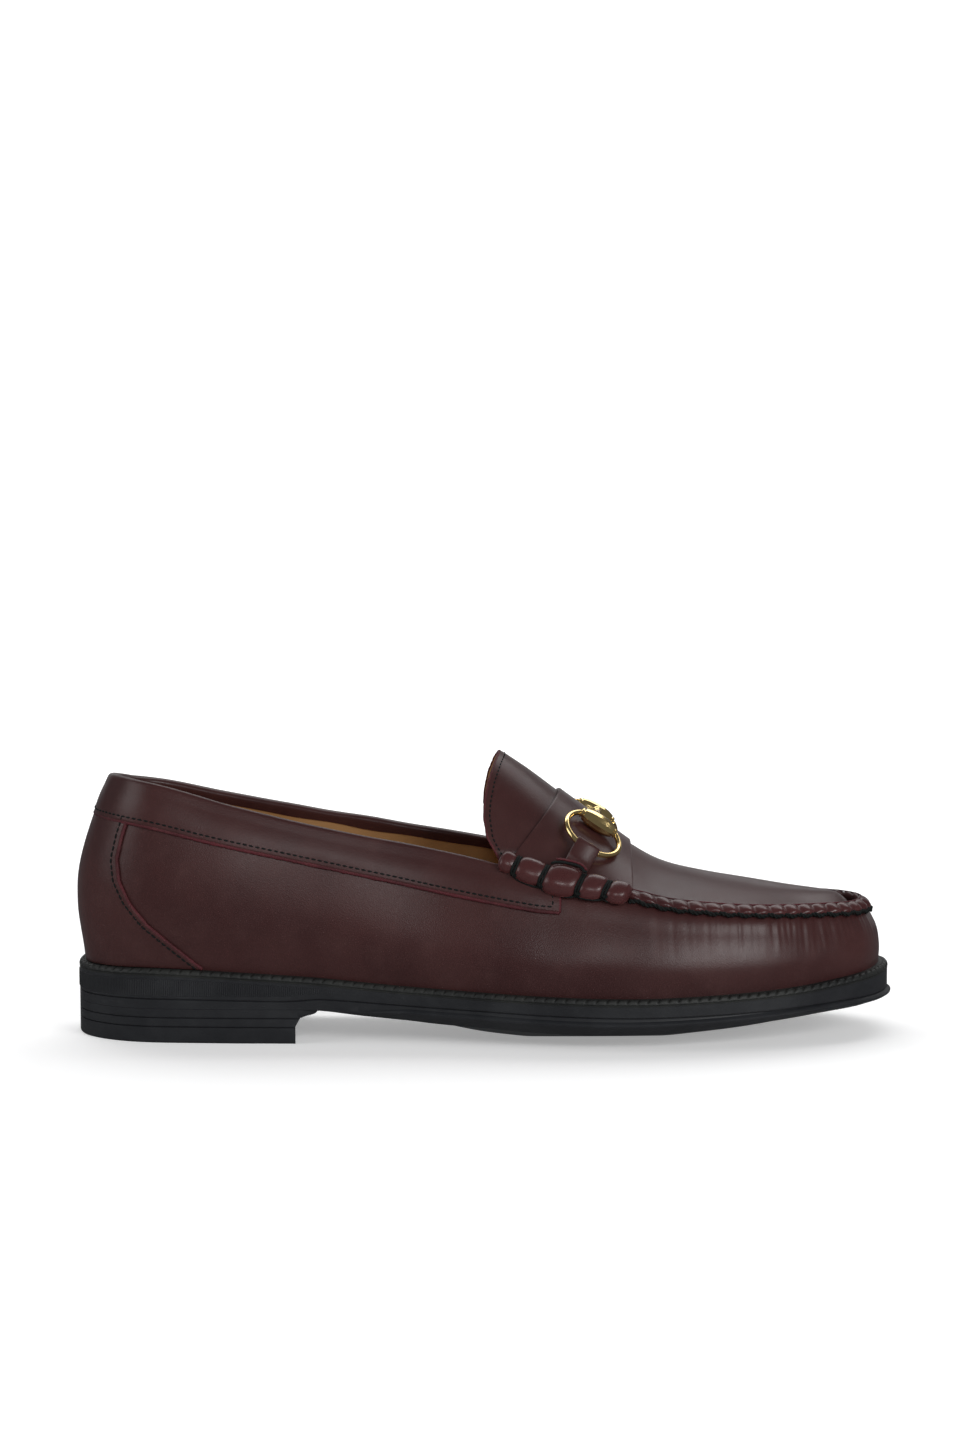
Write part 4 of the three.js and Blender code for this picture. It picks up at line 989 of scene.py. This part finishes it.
for deep, rise in ((0, -1), (0, -.8), (1, -.25), (1, .25), (0, .8), (0, 1)):
    rings.append(footRing(uFoot, edge - deep * sole["grooveDeep"],
                          lambda x: grooveOf(x) + rise * sole["groove"]))
rings += [footRing(uFoot, edge, lambda x: seatOf(x) - .9), footRing(uFoot, edge, seatOf)]
piece("sole", stack(rings), soleRubber, ["outsole"], 34)

# Heel block: lifts with fine grooves, a hollow breast and a curve into the waist
heel = {"lifts": (.48, .745), "lateral": .268, "medial": .257, "hollow": 8, "wide": .36, "drop": 4.8,
        "groove": ((-.32, 0), (-.25, 0), (-.08, .5), (.08, .5), (.25, 0), (.32, 0)),
        "curve": curveOf([(0, 0), (1.2, 1.7), (2.3, 3.8), (3.1, 6.9), (4.2, 8.3), (4.8, 8.7)])}
lift = last["heel"] - .08


def breast(y, z):
    t = np.clip((y + .55 * last["width"]) / (1.1 * last["width"]), 0, 1)
    line = lengthAt(heel["lateral"]) + (lengthAt(heel["medial"]) - lengthAt(heel["lateral"])) * t
    line = line - heel["hollow"] * np.maximum(0, 1 - (y / (heel["wide"] * last["width"])) ** 2)
    return line + heel["curve"](z - (last["heel"] - heel["drop"]))


levels = [(0, 1.2), (0, .45), (.35, .1), (.8, 0)]  # height, and how far inside the edge
for share in heel["lifts"]:
    levels += [(lift * share + rise, deep) for rise, deep in heel["groove"]]
levels += [(z, 0) for z in np.linspace(lift * heel["lifts"][1] + .4, lift, 12)]
back = np.linspace(0, 3.78, 260)
rings = []
for z, deep in levels:
    sides = []
    for u in (back, around - back):
        p, k = footRing(u, edge - deep, lambda x: 0 * x + z), np.arange(len(back))
        stop = np.interp(0, p[:, 0] - breast(p[:, 1], z), k)
        sides.append(np.stack([np.interp(np.linspace(0, stop, 140), k, p[:, j]) for j in range(3)], 1))
    y = np.linspace(sides[0][-1, 1], sides[1][-1, 1], 62)[1:-1]
    rings.append(np.concatenate([sides[0], np.stack([breast(y, z), y, 0 * y + z], 1), sides[1][::-1][:-1]]))
piece("heel_block", tube(np.stack(rings)), soleRubber, ["heel"], 34)

# Welt: a rand with slanted notches along its upper edge
welt = {"pitch": 3.7, "tooth": .62}


def footRun(u):  # millimetres along the edge of the sole
    foot = surface(u, 0 * u) + footNormal(u) * edge
    return np.r_[0, np.cumsum(np.linalg.norm(np.diff(foot[:, :2], axis=0), axis=1))]


uWelt = np.linspace(0, around, 26000)
run = footRun(uWelt)
teeth = round(run[-1] / welt["pitch"])
stopsAt = np.linspace(0, run[-1], teeth * 10, endpoint=False)
uWelt = np.interp(stopsAt, run, uWelt)
phase = stopsAt / run[-1] * teeth


def tooth(shift):
    t = np.mod(phase + shift, 1)
    return smooth(t, .02, .22) * (1 - smooth(t, .8, .96))


# each row: how far out, how high, how much of the notch it takes, how far the notch leans
profile = [(-.4, -sole["weltDeep"], 0, 0), (-.4, -.15, 0, 0), (.35, -.12, 0, 0), (1.35, -.3, 0, 0),
           (1.6, -.42, .5, -.1), (2.05, -.38, 1, -.05), (2.7, -.55, 1, .05), (3.15, -.95, .8, .14),
           (3.42, -1.45, .25, .2), (3.45, -1.75, 0, 0), (3.2, -1.9, 0, 0), (3.2, -2.05, 0, 0),
           (3.38, -2.15, 0, 0), (3.35, -sole["weltDeep"], 0, 0)]
rows = []
for outBy, rise, share, shift in profile:
    bite = share * tooth(shift)
    rows.append(footRing(uWelt, outBy - .25 * share * (1 - tooth(shift)),
                         lambda x: weltTop(x) + rise + welt["tooth"] * (bite - share * .35)))
piece("welt_rand", tube(np.stack(rows), True), weltRubber, ["welt"], 50)

# Fine upright ribs round the heel, below the welt
ribs = {"pitch": .68, "deep": .24, "end": .36}
uRib = np.linspace(columnAt(1, ribs["end"], 0.) - around, columnAt(-1, ribs["end"], 0.), 6000)
run = footRun(uRib)
stopsAt = np.arange(0, run[-1], ribs["pitch"] / 4)
uRib = np.interp(stopsAt, run, uRib)
wave = .5 - .5 * np.cos(2 * math.pi * stopsAt / ribs["pitch"])
outBy = edge + .02 + ribs["deep"] * wave * smooth(stopsAt, 0, 25) * smooth(run[-1] - stopsAt, 0, 25)


def ribHeight(share):
    def height(x):
        low = grooveOf(x) + .9 + 1.2 * smooth(shareOf(x), .1, .3)
        return low + (seatOf(x) - .9 - low) * share
    return height


rows = [footRing(uRib, reach, ribHeight(share))
        for reach, share in ((edge - .5, 0.), (outBy, .04), (outBy, .96), (edge - .5, 1.))]
caps = np.array([[0, 1, 2, 3], [3, 2, 1, 0]]) + np.array([[0], [(len(uRib) - 1) * 4]])
ribFaces = np.concatenate([gridFaces(len(uRib), 4, False, True), caps])
piece("heel_ribs", (np.stack(rows, 1).reshape(-1, 3), ribFaces), soleRubber, sharp=60)
print("rubber made")

# Carried-over insole
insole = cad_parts["insole"]
insole.data.materials.clear()
insole.data.materials.append(liningLeather)

# Sweep, light and camera
stage = {"white": (.86, .86, .86), "glow": .32, "world": (.12, .122, .127)}
sweepSheet = Sheet("studio_sweep", Roughness=.9, Specular_IOR_Level=.1, Emission_Strength=stage["glow"],
                   Emission_Color=(1., 1., 1.))
cloud = sweepSheet.noise(sweepSheet.place(), 3.)
sweepSheet.set("Base Color", sweepSheet.mix(cloud, stage["white"], (.88, .88, .88)))


def paper(name, wide, route):
    mesh = bpy.data.meshes.new(name)
    mesh.from_pydata([(x, y, z) for y, z in route for x in (-wide, wide)], [],
                     [(2 * k, 2 * k + 1, 2 * k + 3, 2 * k + 2) for k in range(len(route) - 1)])
    mesh.polygons.foreach_set("use_smooth", [True] * len(mesh.polygons))
    mesh.materials.append(sweepSheet.material)
    shown = bpy.data.objects.new(name, mesh)
    bpy.context.scene.collection.objects.link(shown)
    shown.visible_glossy = False


bend = [(1.6 + 1.2 * math.sin(a), 1.2 - 1.2 * math.cos(a)) for a in np.linspace(0, math.pi / 2, 16)]
paper("floor", 5, [(-4, 0), (1.6, 0)])
paper("wall", 2.2, [*bend, (2.8, 4.5)])

world = bpy.data.worlds.new("studio")
world.use_nodes = True
world.node_tree.nodes["Background"].inputs["Color"].default_value = (*stage["world"], 1)
bpy.context.scene.world = world
bpy.context.scene.view_settings.view_transform = "Standard"


def softbox(name, place, aim, size, power):
    light = bpy.data.lights.new(name, "AREA")
    light.shape, light.size, light.size_y, light.energy = "RECTANGLE", size[0], size[1], power
    holder = bpy.data.objects.new(name, light)
    bpy.context.scene.collection.objects.link(holder)
    holder.location = place
    holder.rotation_euler = (Vector(aim) - Vector(place)).to_track_quat("-Z", "Y").to_euler()
    holder.visible_camera = False


softbox("top_box", (0, 1.05, 1.6), (0, 0, 0), (2.6, 1.1), 21)
softbox("left_box", (-.04, -1.55, .7), (-.06, 0, .06), (.24, .3), 3.1)
softbox("right_box", (.96, -1.24, .6), (.09, 0, .04), (.8, .5), 12.5)
softbox("side_box", (-1.5, -.5, .8), (-.1, 0, .05), (1., .8), 7)
softbox("rim_box", (.1, 1.45, .3), (.05, 0, .05), (2.2, .36), 1.3)
softbox("wall_box", (0, 1., 2.2), (0, 2.8, 1.2), (3., 1.), 34)

lens = bpy.data.cameras.new("camera")
lens.lens, lens.sensor_width, lens.shift_y = 100.97, 36, .1161
lens.clip_start, lens.clip_end = .05, 30
camera = bpy.data.objects.new("camera", lens)
bpy.context.scene.collection.objects.link(camera)
camera.location = (-.00054, -1.4836, .25617)
camera.rotation_euler = (math.radians(90 - 7.9), 0, 0)
bpy.context.scene.camera = camera
print("stage set")
